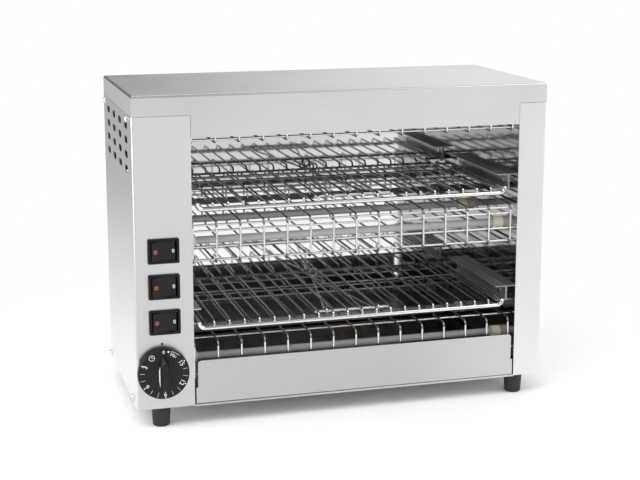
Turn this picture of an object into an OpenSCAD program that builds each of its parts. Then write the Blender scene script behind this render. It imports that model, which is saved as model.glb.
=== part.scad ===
// Two-level salamander grill: an open toaster oven with quartz tubes, wire guards and sliding racks.
// Inside the modules X runs from the casing's centre, Y back from its front plane and Z up from its
// underside. place() then moves each piece so that the origin is on the floor, under the middle.

/* [Body] */
// Width of the casing
body_w = 440; // [420:1:480]
// Depth of the casing, from the front plane to the back
body_d = 198; // [190:1:230]
// Height of the casing above its feet
body_h = 319; // [314:1:345]
// Thickness of the steel sheets
sheet_t = 1; // [0.8:0.1:1.2]
// Outer radius of the folds
fold_r = 2.5; // [2:0.1:4]
// Width of the left front column, which carries the controls
left_column_w = 58.7; // [57:0.1:66]
// Width of the right front column
right_column_w = 30.2; // [28:0.1:36]
// Height of the cover's skirt
skirt_h = 20.6; // [18:0.1:24]
// Height of the fascia between the columns
fascia_h = 42.9; // [38:0.1:46]
// Hairline gap at a seam between two sheets
seam_gap = 0.3; // [0.2:0.05:0.5]
// Air behind the rear reflector
rear_air = 0.5; // [0.3:0.1:2]
// Drop of the ceiling reflector below the top of the casing
ceiling_drop = 16; // [8:1:17]
// Height of the base's hidden flanges, which take the screws
flange_h = 12; // [11:0.5:16]
// Height of the cover's hidden lips, which take the screws
lip_h = 8; // [7.6:0.1:8.2]
// Width of the hidden flanges on the inner walls
wall_flange_w = 10; // [6:0.5:12]
// Diameter of the rolled hem under the tray's front
hem_d = 2.4; // [2:0.1:2.6]

/* [Vents] */
// Number of vent slots along each row
vent_columns = 4; // [2:1:4]
// Number of rows of vent slots
vent_rows = 4; // [2:1:6]
// Length of a vent slot
vent_l = 20; // [12:1:26]
// Height of a vent slot
vent_h = 7; // [4:0.5:9]
// Distance between the slots of a row
vent_pitch_y = 42; // [32:1:44]
// Distance between the rows
vent_pitch_z = 14.7; // [12:0.1:18]
// Middle of the first slot behind the front plane
vent_front = 36; // [24:1:44]
// Drop of the top row below the cover's seam
vent_drop = 12; // [12:0.5:18]
// Number of slots in the back panel
back_vents = 6; // [3:1:8]
// Lowest slot in the back panel, above the underside
back_vent_z = 150; // [100:1:160]

/* [Feet] */
// Height of a rubber foot
foot_h = 21; // [15:0.5:30]
// Diameter of a foot at the casing
foot_top_d = 20; // [17:0.5:22]
// Diameter of a foot at the floor
foot_base_d = 17.5; // [15:0.5:22]
// Chamfer round the foot's floor edge
foot_edge = 1.2; // [0.5:0.1:2]
// Distance of a foot's axis from the casing's side
foot_inset_x = 25.5; // [14:0.5:25.5]
// Distance of a foot's axis from the front and back planes
foot_inset_y = 12; // [12:0.5:16]

/* [Screws] */
// Diameter of a screw's shank
screw_d = 3.8; // [3:0.1:4]
// Diameter of a screw's head
screw_head_d = 7; // [6:0.5:8]
// Height of a screw's head
screw_head_h = 2.2; // [1.5:0.1:3]
// Radial room round a screw in its hole
screw_room = 0.1; // [0.05:0.05:0.3]
// Side screws behind the front plane
side_screw_front = 28; // [22:0.5:34]
// Side screws in front of the back plane
side_screw_back = 11; // [9:0.5:20]
// Screws above the underside and below the cover's seam
screw_edge = 5; // [4.6:0.1:6]
// Distance of the outer back screws from the middle
back_screw_x = 150; // [60:1:160]

/* [Racks] */
// Underside of the lower rails, above the underside of the casing
lower_rail_z = 78.7; // [76:0.1:90]
// Height between the two racks
rack_pitch = 124; // [114:0.5:126]
// Height of a rail's channel
rail_h = 16; // [12:0.5:18]
// Width of a rail's flanges
rail_w = 12.5; // [12:0.5:14]
// Room between the front rod and the rails
rail_stop_gap = 6.5; // [4:0.5:9]
// Rails' back ends in front of the rear reflector
rail_back_gap = 27; // [10:0.5:32]
// Diameter of a rail's rivets
rivet_d = 3; // [2.5:0.1:4]
// Room between a sliding piece and its guide
slide_gap = 0.3; // [0.3:0.05:0.6]
// Number of wires in a rack
rack_wires = 20; // [16:2:20]
// Diameter of a rack's wires
rack_wire_d = 2; // [1.6:0.1:2.4]
// Diameter of the cross bars under the wires
rack_bar_d = 2.6; // [2.4:0.1:3]
// Diameter of the runners, which slide in the rails
runner_d = 3.2; // [3.1:0.1:3.6]
// Distance of a runner from the wall of the toasting space
runner_inset = 9.5; // [9:0.1:10]
// Distance from a runner to the first wire
rack_side_gap = 14.75; // [10:0.25:18]
// Diameter of a rack's front rod
rod_d = 5; // [4:0.1:6]
// Front rod behind the front plane
rod_y = 15; // [13:0.5:15.5]
// Drop of the front rod below the wires
rod_drop = 7.4; // [7:0.1:9]
// Distance of the front rod's ends from the wall
rod_inset = 8.2; // [7:0.1:9]
// Bend radius of the front rod's ends
rod_bend_r = 6; // [5:0.5:8]
// Straight length of the front rod's turned-up ends
rod_tip = 1; // [0.5:0.1:3]
// Bend radius of the wires
rack_bend_r = 4.5; // [4:0.25:5.25]
// Wires' back ends in front of the rear reflector
rack_back_gap = 10.5; // [8:0.1:13]
// Drop of the back rod below the wires
rack_back_drop = 6; // [5.5:0.1:9]
// Side bars in front of the wires' back ends
back_bar_gap = 7.5; // [6.5:0.5:12]
// Middle cross bar behind the front plane
middle_bar_y = 135; // [120:1:145]
// Depth by which welded wires sink into each other
weld = 0.2; // [0.15:0.05:0.3]

/* [Rack pulls] */
// Diameter of the pull's bar under the rack
pull_bar_d = 3.6; // [3:0.1:4]
// Bar of the pull behind the front rod
pull_bar_gap = 12; // [11:0.5:16]
// Half the bar's length, in spaces between wires
pull_bar_spaces = 2.6; // [2.55:0.01:2.8]
// Place of an eye from the middle, in spaces between wires
pull_eye_spaces = 1.8; // [1.75:0.01:2.2]
// Room between an eye and the bar
pull_eye_gap = 0.35; // [0.3:0.05:0.6]
// Diameter of the pull's legs
pull_leg_d = 2; // [1.6:0.1:2.1]
// Diameter of the wire in the pull's eyes and ring
pull_loop_d = 2.3; // [2.2:0.1:2.6]
// Middle radius of the finger ring
ring_r = 4.4; // [4:0.1:4.8]
// Ring in front of the wires' back ends
ring_gap = 5; // [4.6:0.1:14]
// Distance between the two legs at the ring
leg_gap = 2.4; // [2.3:0.1:3]

/* [Guards] */
// Number of wires in a guard
guard_wires = 15; // [11:2:17]
// Diameter of a guard's wires
guard_d = 2.2; // [1.8:0.1:2.6]
// Room between a guard's first wire and the left wall
guard_left_gap = 0.1; // [0.05:0.05:1]
// Distance of a guard's last wire from the right wall
guard_edge = 5.6; // [3:0.1:8]
// Guards' front wires behind the front plane
guard_front = 5; // [4:0.5:6]
// Guards' back ends in front of the rear reflector
guard_back_gap = 9; // [6:0.5:14]
// Bend radius of the guards' wires
guard_bend_r = 5; // [4:0.5:6]
// Length of the turned ends at the back
guard_hook = 13; // [7:0.5:15]
// Hairline between a guard's wires and its cross wires
guard_seat = 0.05; // [0.02:0.01:0.1]
// Drop of a guard below the rail above it
guard_drop = 14; // [13.5:0.1:15]
// Height of the middle guard
middle_guard_h = 42; // [40:0.5:44]
// Drop of the top guard below the fascia
top_guard_drop = 6.8; // [3:0.1:8]
// Rise of the top guard's front wires behind the fascia
top_guard_rise = 24; // [18:0.5:26]
// Drop of the bottom guard's front wires behind the tray
bottom_guard_drop = 37; // [30:0.5:38]

/* [Heaters] */
// Outer diameter of a quartz tube
tube_d = 8; // [7:0.1:9]
// Wall of a quartz tube
tube_wall = 1; // [0.8:0.1:1.2]
// Front tubes behind the front plane
front_tube_y = 42; // [40:0.5:60]
// Distance between the front and back tubes
tube_spacing = 105; // [90:1:115]
// Drop of a tube below the guard over it
tube_drop = 26; // [24:0.1:27]
// Drop of the top tubes below the ceiling
top_tube_drop = 16; // [10:0.1:17]
// Diameter of a heating core, the plain form of the wound coil
core_d = 3.2; // [2:0.1:4]
// Diameter of a ceramic end
ceramic_d = 12.4; // [11.2:0.1:14]
// Length of a ceramic end inside the toasting space
ceramic_l = 10.2; // [9.6:0.1:14]
// Depth of the socket for the tube
socket_l = 8; // [6:0.5:9]
// Room round a tube in its socket
socket_room = 0.1; // [0.05:0.05:0.3]
// Diameter of a ceramic end's neck, which passes through the wall
neck_d = 6; // [5:0.1:7]
// Length of a neck behind the wall
neck_l = 4; // [3:0.5:5]
// Diameter of a terminal's stud
stud_d = 2.2; // [1.8:0.1:2.6]
// Width across a terminal's nut
stud_nut_d = 5.6; // [5:0.1:6]
// Length of a terminal behind the neck
stud_l = 4; // [3:0.5:5]
// Diameter of the leads between the terminals
lead_d = 2.5; // [2:0.1:3]

/* [Switches] */
// Width of a switch bezel
bezel_w = 31.7; // [30:0.1:33]
// Height of a switch bezel
bezel_h = 25.3; // [24:0.1:27]
// Height of a bezel over the panel
bezel_t = 2; // [1.5:0.1:3]
// Width of a bezel's frame
bezel_rim = 2.5; // [2.3:0.1:3.2]
// Corner radius of a bezel
bezel_r = 1.5; // [1:0.1:2]
// Depth of a switch behind the panel's face
switch_depth = 28; // [24:0.5:34]
// Wall of a switch housing
switch_wall = 1.2; // [1:0.1:1.6]
// Middle of the switches from the casing's left side
switch_x = 29.25; // [28:0.05:31]
// Middle of the lowest switch above the underside
low_switch_z = 90.4; // [86:0.1:100]
// Distance between two switches
switch_pitch = 36.6; // [34:0.1:40]
// Room round a rocker in its housing
rocker_gap = 0.35; // [0.3:0.05:0.5]
// Depth of the rocker's pivot behind the panel's face
pivot_y = 0.5; // [0.3:0.1:1.2]
// Diameter of the rocker's pivot pins
pivot_d = 3; // [2.4:0.1:3.4]
// Running room round a pivot pin or shaft
running_room = 0.05; // [0.02:0.01:0.08]
// Tilt of a rocker to each side
rocker_tilt = 7; // [4:0.5:8]
// Height of the rocker's lamp end over the panel, untilted
rocker_lamp_rise = 3.3; // [3:0.1:4]
// Height of the rocker's other end over the panel, untilted
rocker_end_rise = 3; // [2.6:0.1:3.6]
// Rocker's other end right of its middle
rocker_end_x = 11.1; // [10.5:0.1:12]
// Height of the rocker's valley over the panel, untilted
rocker_valley = 1.2; // [1:0.1:1.6]
// Valley of the rocker right of its middle
rocker_valley_x = 7.3; // [5:0.1:8]
// Hollow of the rocker's wide face
rocker_hollow = 0.5; // [0.2:0.1:0.7]
// Depth of the rocker's body behind the panel's face
rocker_back = 7; // [6:0.1:8]
// Diameter of a lamp lens
lamp_d = 5; // [4:0.1:6]
// Height of a lens over the rocker
lamp_rise = 0.3; // [0.1:0.1:0.8]
// Depth of a lens in the rocker
lamp_depth = 2.5; // [2:0.1:3]
// Lens from the rocker's middle
lamp_x = 9; // [8:0.1:9.3]

/* [Timer] */
// Timer axis from the casing's left side
timer_x = 26; // [25:0.1:29]
// Timer axis above the underside
timer_z = 38.5; // [30:0.1:42]
// Width and height of the timer's body
timer_w = 42; // [36:0.5:44]
// Depth of the timer's body
timer_depth = 30; // [24:0.5:34]
// Diameter of the timer's bush
bush_d = 10; // [9:0.1:11]
// Thickness of the bush's nut
nut_t = 2.4; // [2:0.1:3]
// Width across the corners of the bush's nut
nut_d = 16; // [14:0.1:17]
// Diameter of the timer's shaft
shaft_d = 6; // [5:0.1:7]
// Shaft's length inside the timer
shaft_in = 18; // [12:0.5:20]
// Diameter of the dial knob
knob_d = 52.5; // [46:0.1:53]
// Gap between the knob and the panel
knob_gap = 1.2; // [0.8:0.1:2]
// Thickness of the knob's disc
knob_disc_t = 7; // [6.5:0.1:9]
// Rounding of the disc's front edge
knob_edge_r = 1; // [0.5:0.1:1.5]
// Height of the knob's grip over the disc
grip_h = 9; // [7:0.1:12]
// Width of the grip
grip_w = 9; // [8.5:0.1:14]
// Reach of the grip's rounded end below the axis
grip_tail = 16.5; // [12:0.5:20]
// Reach of the grip's straight sides above the axis
grip_side = 12; // [11:0.5:17]
// Reach of the grip's tip above the axis
grip_tip = 20; // [18:0.5:23]
// Width of the grip's tip
grip_tip_w = 2; // [1.5:0.1:4]
// Diameter of the hollow under the knob
knob_hollow_d = 22; // [19:0.5:26]
// Depth of the hollow under the knob
knob_hollow = 4; // [3.6:0.1:4.5]
// Room between the shaft and the knob
knob_fit = 0.02; // [0.01:0.01:0.05]

/* [Crumb tray] */
// Gap between the tray's front and the walls
tray_side_gap = 1.6; // [1:0.1:3]
// Further inset of the front's upper part on each side
tray_step = 2; // [0.5:0.1:4]
// Height of the front's wide lower part
tray_low_h = 16.8; // [14:0.1:20]
// Height of the tray's front
tray_front_h = 45; // [36:0.1:46]
// Radius of the front's upper corners
tray_corner_r = 3.5; // [1:0.1:5]
// Gap under the tray
tray_lift = 0.6; // [0.5:0.05:0.8]
// Inset of the pan's sides from the tray's front
pan_inset = 2.4; // [1:0.1:5]
// Height of the pan's walls
pan_h = 15; // [10:0.5:16]
// Gap between the pan and the rear reflector
pan_back_gap = 6; // [3:0.5:14]

/* [Wiring] */
// Distance of the cable gland and the terminal block from the casing's left side
gland_x = 30; // [26:0.5:31]
// Height of the cable gland's axis
gland_z = 30; // [26:0.5:40]
// Diameter of the gland's bore
gland_bore = 8; // [6:0.5:8.5]
// Diameter of the gland's neck through the back panel
gland_neck_d = 12; // [11:0.5:13]
// Diameter of the gland's dome
gland_d = 18; // [16:0.5:20]
// Width across the corners of the gland's hexagon
gland_hex_d = 22; // [20:0.5:23]
// Thickness of the gland's hexagon and nut
gland_hex_t = 5; // [4:0.5:6]
// Reach of the gland behind the back panel
gland_out = 14; // [10:0.5:18]
// Length of the terminal block
block_l = 36; // [30:1:40]
// Width of the terminal block
block_w = 22; // [18:0.5:24]
// Height of the terminal block
block_h = 16; // [14:0.5:20]
// Middle of the terminal block in front of the back plane
block_back = 50; // [42:1:60]
// Diameter of the wiring loom
loom_d = 4; // [3:0.1:5]
// Upright of the loom behind the front plane
loom_y = 60; // [54:1:66]

/* [Hidden] */
$fn = 48;

left = -1;
right = 1;
side_h = body_h - skirt_h;
left_wall_x = left_column_w - body_w / 2;
right_wall_x = body_w / 2 - right_column_w;
space_w = right_wall_x - left_wall_x;
space_x = (left_wall_x + right_wall_x) / 2;
back_in = body_d - 3 * sheet_t - rear_air;
ceiling_z = body_h - ceiling_drop;
casing_in = body_w / 2 - sheet_t;
seam_screw_z = side_h - seam_gap - screw_edge;
screw_hole_d = screw_d + 2 * screw_room;
foot_recess_d = screw_head_d + 2;
foot_recess = foot_h / 2;
foot_nut_t = 3;
foot_nut_d = 8;
back_vent_l = 30;
back_vent_h = 5;
back_vent_pitch = 12;
tab_front = 10;
tab_back = 6;
tab_end = 12;
screw_tab_y = [side_screw_front - tab_front, body_d - side_screw_back + tab_back];
screw_tab_x = [-back_screw_x - tab_end, back_screw_x + tab_end];
back_tab_y = [body_d - 2 * sheet_t, body_d - sheet_t];
wall_flange_front = 6;
wall_flange_back = 30;
rivet_front = 16;
rivet_back = 12;

upper = 1;
lower = 0;
runner_x = space_w / 2 - runner_inset;
last_wire_x = runner_x - rack_side_gap;
rack_wire_pitch = 2 * last_wire_x / (rack_wires - 1);
rack_back = back_in - rack_back_gap - rack_wire_d / 2;
back_bar_y = rack_back - back_bar_gap;
rail_front = rod_y + rod_d / 2 + rail_stop_gap;
rail_back = back_in - rail_back_gap;
runner_tail = 4;
runner_back = rack_back + runner_tail;
pull_bar_y = rod_y + pull_bar_gap;
pull_eye_r = pull_bar_d / 2 + pull_eye_gap + pull_loop_d / 2;
pull_eye_x = pull_eye_spaces * rack_wire_pitch;
pull_bar_l = 2 * pull_bar_spaces * rack_wire_pitch;
pull_bend_r = 2.5;
ring_y = rack_back - ring_gap;

guard_first_x = left_wall_x + guard_left_gap + guard_d / 2;
guard_pitch = (right_wall_x - guard_edge - guard_first_x) / (guard_wires - 1);
guard_back = back_in - guard_back_gap;
middle_guard_top = rail_z(upper) - guard_drop;
middle_guard_low = middle_guard_top - middle_guard_h;
bottom_guard_top = rail_z(lower) - guard_drop;
top_guard_low = body_h - fascia_h - top_guard_drop;
cross_step = guard_d + guard_seat;
cross_y = guard_front + cross_step;
back_cross_y = guard_back - cross_step;
cross_nest = guard_bend_r - (guard_bend_r - cross_step) * cos(45);
middle_cross_y = 29;

back_tube_y = front_tube_y + tube_spacing;
top_tube_z = ceiling_z - top_tube_drop;
middle_tube_z = middle_guard_top - tube_drop;
bottom_tube_z = bottom_guard_top - tube_drop;
tube_inset = ceramic_l - socket_l;
stud_end = sheet_t + neck_l + stud_l;
tube_places = [
    for (z = [top_tube_z, middle_tube_z, bottom_tube_z]) for (y = [front_tube_y, back_tube_y]) [y, z]
];

opening_w = bezel_w - 2 * bezel_rim;
opening_h = bezel_h - 2 * bezel_rim;
housing_w = opening_w + 2 * switch_wall;
housing_h = opening_h + 2 * switch_wall;
rocker_h = opening_h - 2 * rocker_gap;
rocker_wide = (opening_w / 2 - rocker_gap) / cos(rocker_tilt);
rocker_back_x = rocker_wide - tan(rocker_tilt) * (rocker_back - pivot_y);
lamp_tip_x = rocker_wide - tan(rocker_tilt) * (rocker_lamp_rise + pivot_y);
pin_reach = opening_h / 2 + switch_wall - 0.6;
pin_end_room = 0.2;
lamp_slope = (rocker_lamp_rise - rocker_valley) / (lamp_tip_x + rocker_valley_x);
lamp_y = lamp_slope * (lamp_tip_x - lamp_x) - rocker_lamp_rise;
hollow_w = norm([lamp_tip_x + rocker_valley_x, rocker_lamp_rise - rocker_valley]);
hollow_r = hollow_w * hollow_w / (8 * rocker_hollow) + rocker_hollow / 2;
hollow_mid = [(rocker_valley_x - lamp_tip_x) / 2, -(rocker_lamp_rise + rocker_valley) / 2];
panel_fit = 0.1;

knob_out = knob_gap + knob_disc_t + grip_h;
bush_front = nut_t + 1;
shaft_front = knob_gap + knob_disc_t + grip_h / 2;
gland_nut_t = 4;
front_y = (knob_out - body_d - gland_out) / 2;

function rail_z(level) = lower_rail_z + level * rack_pitch;
function rack_bar_z(level) = rail_z(level) + sheet_t + slide_gap + runner_d / 2;
function rack_wire_z(level) = rack_bar_z(level) + (rack_bar_d + rack_wire_d) / 2 - weld;
function pull_bar_z(level) = rack_wire_z(level) - (pull_bar_d + rack_wire_d) / 2 + weld;
function wall_x(side) = side == left ? left_wall_x : right_wall_x;
function switch_z(row) = low_switch_z + row * switch_pitch;
function ordered(pair) = pair[0] < pair[1] ? pair : [pair[1], pair[0]];
function unit(v) = v / norm(v);
// Turn of a flat path at its point i, in degrees, positive to the left
function turn_at(path, i) =
    let (u = unit(path[i] - path[i - 1]), v = unit(path[i + 1] - path[i]))
    atan2(u.x * v.y - u.y * v.x, u * v);
// Length that a bend takes off the straight runs at point i
function trim_at(path, i, bend_r) =
    i == 0 || i == len(path) - 1 ? 0 : bend_r * abs(tan(turn_at(path, i) / 2));

module place() translate([0, front_y, foot_h]) children();

// Box between two values on each axis
module span(x, y, z) {
    a = ordered(x);
    b = ordered(y);
    c = ordered(z);
    translate([a[0], b[0], c[0]]) cube([a[1] - a[0], b[1] - b[0], c[1] - c[0]]);
}

// Round bars along one axis
module bar_x(x, y, z, d) {
    a = ordered(x);
    translate([a[0], y, z]) rotate([0, 90, 0]) cylinder(d = d, h = a[1] - a[0]);
}

module bar_y(x, y, z, d) {
    b = ordered(y);
    translate([x, b[0], z]) rotate([-90, 0, 0]) cylinder(d = d, h = b[1] - b[0]);
}

module bar_z(x, y, z, d) {
    c = ordered(z);
    translate([x, y, c[0]]) cylinder(d = d, h = c[1] - c[0]);
}

// Round rod bent along a flat path
module bent_rod(path, bend_r, d) {
    for (i = [0 : len(path) - 2]) {
        u = unit(path[i + 1] - path[i]);
        start = path[i] + u * trim_at(path, i, bend_r);
        run = norm(path[i + 1] - path[i]) - trim_at(path, i, bend_r) - trim_at(path, i + 1, bend_r);
        translate([start.x, start.y, 0]) rotate([0, 0, atan2(u.y, u.x)]) rotate([0, 90, 0])
            cylinder(d = d, h = run);
    }
    for (i = [1 : len(path) - 2]) {
        u = unit(path[i] - path[i - 1]);
        turn = turn_at(path, i);
        hand = sign(turn);
        middle = path[i] - u * trim_at(path, i, bend_r) + [-u.y, u.x] * hand * bend_r;
        first = atan2(u.y, u.x) - hand * 90;
        translate([middle.x, middle.y, 0]) rotate([0, 0, min(first, first + turn)])
            rotate_extrude(angle = abs(turn)) translate([bend_r, 0]) circle(d = d);
    }
}

// Turns a flat path so that its first axis runs back and its second runs up
module upright_path() rotate([90, 0, 90]) children();

// Turns a flat outline so that it faces the front and grows forward
module facing_front() rotate([90, 0, 0]) children();

module rounded_rectangle(w, h, r) {
    square([w - 2 * r, h], center = true);
    square([w, h - 2 * r], center = true);
    for (x = [-1, 1]) for (y = [-1, 1]) translate([x * (w / 2 - r), y * (h / 2 - r)]) circle(r);
}

module slot_outline(l, h) {
    square([l - h, h], center = true);
    for (s = [-1, 1]) translate([s * (l - h) / 2, 0]) circle(d = h);
}

// Rectangle standing on the first axis, with round upper corners
module arch_outline(w, h, r) {
    translate([-w / 2, 0]) square([w, h - r]);
    translate([r - w / 2, 0]) square([w - 2 * r, h]);
    for (s = [-1, 1]) translate([s * (w / 2 - r), h - r]) circle(r);
}

// Plan of a folded sheet: a front of width w and a side of depth d that meet in a round fold
module fold_outline(w, d) {
    translate([fold_r, 0]) square([w - fold_r, sheet_t]);
    translate([0, fold_r]) square([sheet_t, d - fold_r]);
    translate([fold_r, fold_r]) difference() {
        intersection() {
            circle(fold_r);
            translate([-fold_r, -fold_r]) square(fold_r);
        }
        circle(fold_r - sheet_t);
    }
}

// Holes for the side screws at one height
module side_screw_holes(z) {
    for (y = [side_screw_front, body_d - side_screw_back])
        bar_x([-body_w, body_w], y, z, screw_hole_d);
}

module back_screw_holes(z) {
    for (x = [-back_screw_x, 0, back_screw_x]) bar_y(x, [back_in + sheet_t, body_d + 1], z, screw_hole_d);
}

// Solid under the cover's skin, set in from its outside and reaching below the fascia
module cover_block(inset, reach) {
    h = fascia_h + reach - inset;
    translate([0, 0, body_h - fascia_h - reach]) intersection() {
        translate([0, body_d - inset, 0]) rotate([90, 0, 0]) linear_extrude(body_d - 2 * inset)
            arch_outline(body_w - 2 * inset, h, fold_r - inset);
        translate([inset - body_w / 2, body_d / 2, 0]) upright_path() linear_extrude(body_w - 2 * inset)
            arch_outline(body_d - 2 * inset, h, fold_r - inset);
    }
}

// Top plate, skirt and fascia in one folded sheet, with a lip behind the casing on three sides
module top_cover() color("gainsboro") place() {
    low = body_h - fascia_h - 1;
    lip_z = [side_h - lip_h, side_h + 2 * sheet_t];
    difference() {
        cover_block(0, 0);
        cover_block(sheet_t, 1);
        span([-body_w, left_wall_x + seam_gap], [-1, body_d + 1], [low, side_h]);
        span([right_wall_x - seam_gap, body_w], [-1, body_d + 1], [low, side_h]);
        span([-body_w, body_w], [2 * sheet_t, body_d + 1], [low, side_h]);
    }
    difference() {
        union() {
            for (s = [left, right]) span([s * casing_in, s * (casing_in - sheet_t)], screw_tab_y, lip_z);
            span(screw_tab_x, back_tab_y, lip_z);
        }
        side_screw_holes(seam_screw_z);
        back_screw_holes(seam_screw_z);
    }
}

// Side and front column in one folded sheet
module casing(side, column_w) {
    difference() {
        mirror([side == right ? 1 : 0, 0, 0]) translate([-body_w / 2, 0, 0])
            linear_extrude(side_h - seam_gap) fold_outline(column_w, body_d);
        side_screw_holes(screw_edge);
        side_screw_holes(seam_screw_z);
    }
}

module left_casing() color("gainsboro") place() {
    difference() {
        casing(left, left_column_w);
        for (i = [0 : vent_columns - 1]) for (j = [0 : vent_rows - 1])
            translate([-body_w / 2 - 1, vent_front + i * vent_pitch_y, side_h - vent_drop - j * vent_pitch_z])
                upright_path() linear_extrude(sheet_t + 2) slot_outline(vent_l, vent_h);
        for (row = [0 : 2]) translate([switch_x - body_w / 2, sheet_t + 1, switch_z(row)]) facing_front()
            linear_extrude(sheet_t + 2) square([housing_w, housing_h] + 2 * [panel_fit, panel_fit], center = true);
        bar_y(timer_x - body_w / 2, [-1, sheet_t + 1], timer_z, bush_d + 2 * panel_fit);
    }
}

module right_casing() color("gainsboro") place() casing(right, right_column_w);

// Polished wall of the toasting space, with flanges turned into the column
module inner_wall(side) color("lightgray") place() {
    x = wall_x(side);
    outside = x + side * sheet_t;
    flange = [x, x + side * wall_flange_w];
    flange_y = [rail_front + wall_flange_front, back_in - wall_flange_back];
    difference() {
        union() {
            span([x, outside], [sheet_t, back_in], [sheet_t, ceiling_z]);
            span(flange, flange_y, [sheet_t, 2 * sheet_t]);
            span(flange, flange_y, [ceiling_z - sheet_t, ceiling_z]);
        }
        for (p = tube_places) bar_x([x - 2, x + 2], p[0], p[1], neck_d + 2 * socket_room);
        for (level = [lower, upper]) rivet_holes(side, level);
    }
}

module left_inner_wall() inner_wall(left);
module right_inner_wall() inner_wall(right);

module ceiling_reflector() color("lightgray") place()
    span([left_wall_x - sheet_t, right_wall_x + sheet_t], [sheet_t, back_in + sheet_t],
         [ceiling_z, ceiling_z + sheet_t]);

module rear_reflector() color("lightgray") place()
    span([left_wall_x - sheet_t, right_wall_x + sheet_t], [back_in, back_in + sheet_t], [sheet_t, ceiling_z]);

module back_panel() color("silver") place() difference() {
    span([-casing_in, casing_in], [body_d - sheet_t, body_d], [0, side_h - seam_gap]);
    back_screw_holes(screw_edge);
    back_screw_holes(seam_screw_z);
    bar_y(gland_x - body_w / 2, [body_d - sheet_t - 1, body_d + 1], gland_z, gland_neck_d + 2 * panel_fit);
    for (i = [0 : back_vents - 1])
        translate([gland_x - body_w / 2, body_d + 1, back_vent_z + i * back_vent_pitch]) facing_front()
            linear_extrude(sheet_t + 2) slot_outline(back_vent_l, back_vent_h);
}

// Floor of the casing, with flanges for the screws and a rolled hem under the tray's front
module base_plate() color("silver") place() difference() {
    union() {
        span([-casing_in, casing_in], [fold_r, body_d - sheet_t], [0, sheet_t]);
        span([fold_r - body_w / 2, body_w / 2 - fold_r], [sheet_t, fold_r + 1], [0, sheet_t]);
        for (s = [left, right])
            span([s * casing_in, s * (casing_in - sheet_t)], screw_tab_y, [0, flange_h]);
        span(screw_tab_x, back_tab_y, [0, flange_h]);
        bar_x([left_wall_x, right_wall_x], hem_d / 4, 0, hem_d);
        span([left_wall_x, right_wall_x], [hem_d / 4, sheet_t + 1], [0, sheet_t]);
    }
    side_screw_holes(screw_edge);
    back_screw_holes(screw_edge);
    at_feet() translate([0, 0, -1]) cylinder(d = screw_hole_d, h = sheet_t + 2);
}

// Drawer for crumbs: a tall front plate and a shallow pan
module crumb_tray() color("gainsboro") place() {
    low = max(sheet_t, hem_d / 2) + tray_lift;
    low_w = space_w - 2 * tray_side_gap;
    high_w = low_w - 2 * tray_step;
    pan_x = low_w / 2 - pan_inset;
    pan_y = [0, back_in - pan_back_gap];
    translate([space_x, 0, low]) {
        translate([0, sheet_t, 0]) facing_front() linear_extrude(sheet_t) {
            translate([-low_w / 2, 0]) square([low_w, tray_low_h]);
            arch_outline(high_w, tray_front_h, tray_corner_r);
        }
        span([-pan_x, pan_x], pan_y, [0, sheet_t]);
        for (s = [left, right]) span([s * pan_x, s * (pan_x - sheet_t)], pan_y, [0, pan_h]);
        span([-pan_x, pan_x], [pan_y[1] - sheet_t, pan_y[1]], [0, pan_h]);
    }
}

module rivet_holes(side, level) {
    x = wall_x(side);
    for (y = rivet_y())
        bar_x([x - 2 * side, x + 2 * side], y, rail_z(level) + rail_h / 2, rivet_d + 2 * screw_room);
}

function rivet_y() = [rail_front + rivet_front, rail_back - rivet_back];

// Channel on the wall, open towards the rack
module rail(side, level) color("silver") place() {
    x = wall_x(side);
    y = [rail_front, rail_back];
    low = rail_z(level);
    inside = [x, x - side * rail_w];
    difference() {
        union() {
            span([x, x - side * sheet_t], y, [low, low + rail_h]);
            span(inside, y, [low, low + sheet_t]);
            span(inside, y, [low + rail_h - sheet_t, low + rail_h]);
        }
        rivet_holes(side, level);
    }
}

module upper_left_rail() rail(left, upper);
module upper_right_rail() rail(right, upper);
module lower_left_rail() rail(left, lower);
module lower_right_rail() rail(right, lower);

// Rivets that hold the rails, with a head on each side
module rail_rivets() color("gainsboro") place() {
    head_t = 1;
    for (side = [left, right]) for (level = [lower, upper]) for (y = rivet_y()) {
        z = rail_z(level) + rail_h / 2;
        in_face = wall_x(side) - side * sheet_t;
        out_face = wall_x(side) + side * sheet_t;
        bar_x([in_face - side * head_t, out_face + side * head_t], y, z, rivet_d);
        bar_x([in_face, in_face - side * head_t], y, z, 2 * rivet_d);
        bar_x([out_face, out_face + side * head_t], y, z, 2 * rivet_d);
    }
}

// Welded wire rack: wires turned down to a rod at both ends, cross bars, runners and pull bar
module rack(level) color("whitesmoke") place() translate([space_x, 0, 0]) {
    wire_z = rack_wire_z(level);
    low_z = wire_z - rod_drop;
    back_z = wire_z - rack_back_drop;
    rod_x = space_w / 2 - rod_inset;
    rod_top = low_z + rod_bend_r + rod_tip;
    back_rod_x = last_wire_x + rack_bar_d;
    wire_path = [[rack_back, back_z], [rack_back, wire_z], [rod_y, wire_z], [rod_y, low_z]];
    for (i = [0 : rack_wires - 1]) translate([(i - (rack_wires - 1) / 2) * rack_wire_pitch, 0, 0])
        upright_path() bent_rod(wire_path, rack_bend_r, rack_wire_d);
    bar_x([-back_rod_x, back_rod_x], rack_back, back_z, rack_bar_d);
    bar_x([-runner_x, runner_x], middle_bar_y, rack_bar_z(level), rack_bar_d);
    for (s = [left, right]) {
        bar_x([s * runner_x, s * (last_wire_x - rack_bar_d)], back_bar_y, rack_bar_z(level), rack_bar_d);
        bar_y(s * runner_x, [rod_y, runner_back], rack_bar_z(level), runner_d);
    }
    translate([0, rod_y, 0]) facing_front()
        bent_rod([[-rod_x, rod_top], [-rod_x, low_z], [rod_x, low_z], [rod_x, rod_top]], rod_bend_r, rod_d);
    bar_x([-pull_bar_l / 2, pull_bar_l / 2], pull_bar_y, pull_bar_z(level), pull_bar_d);
}

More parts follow.
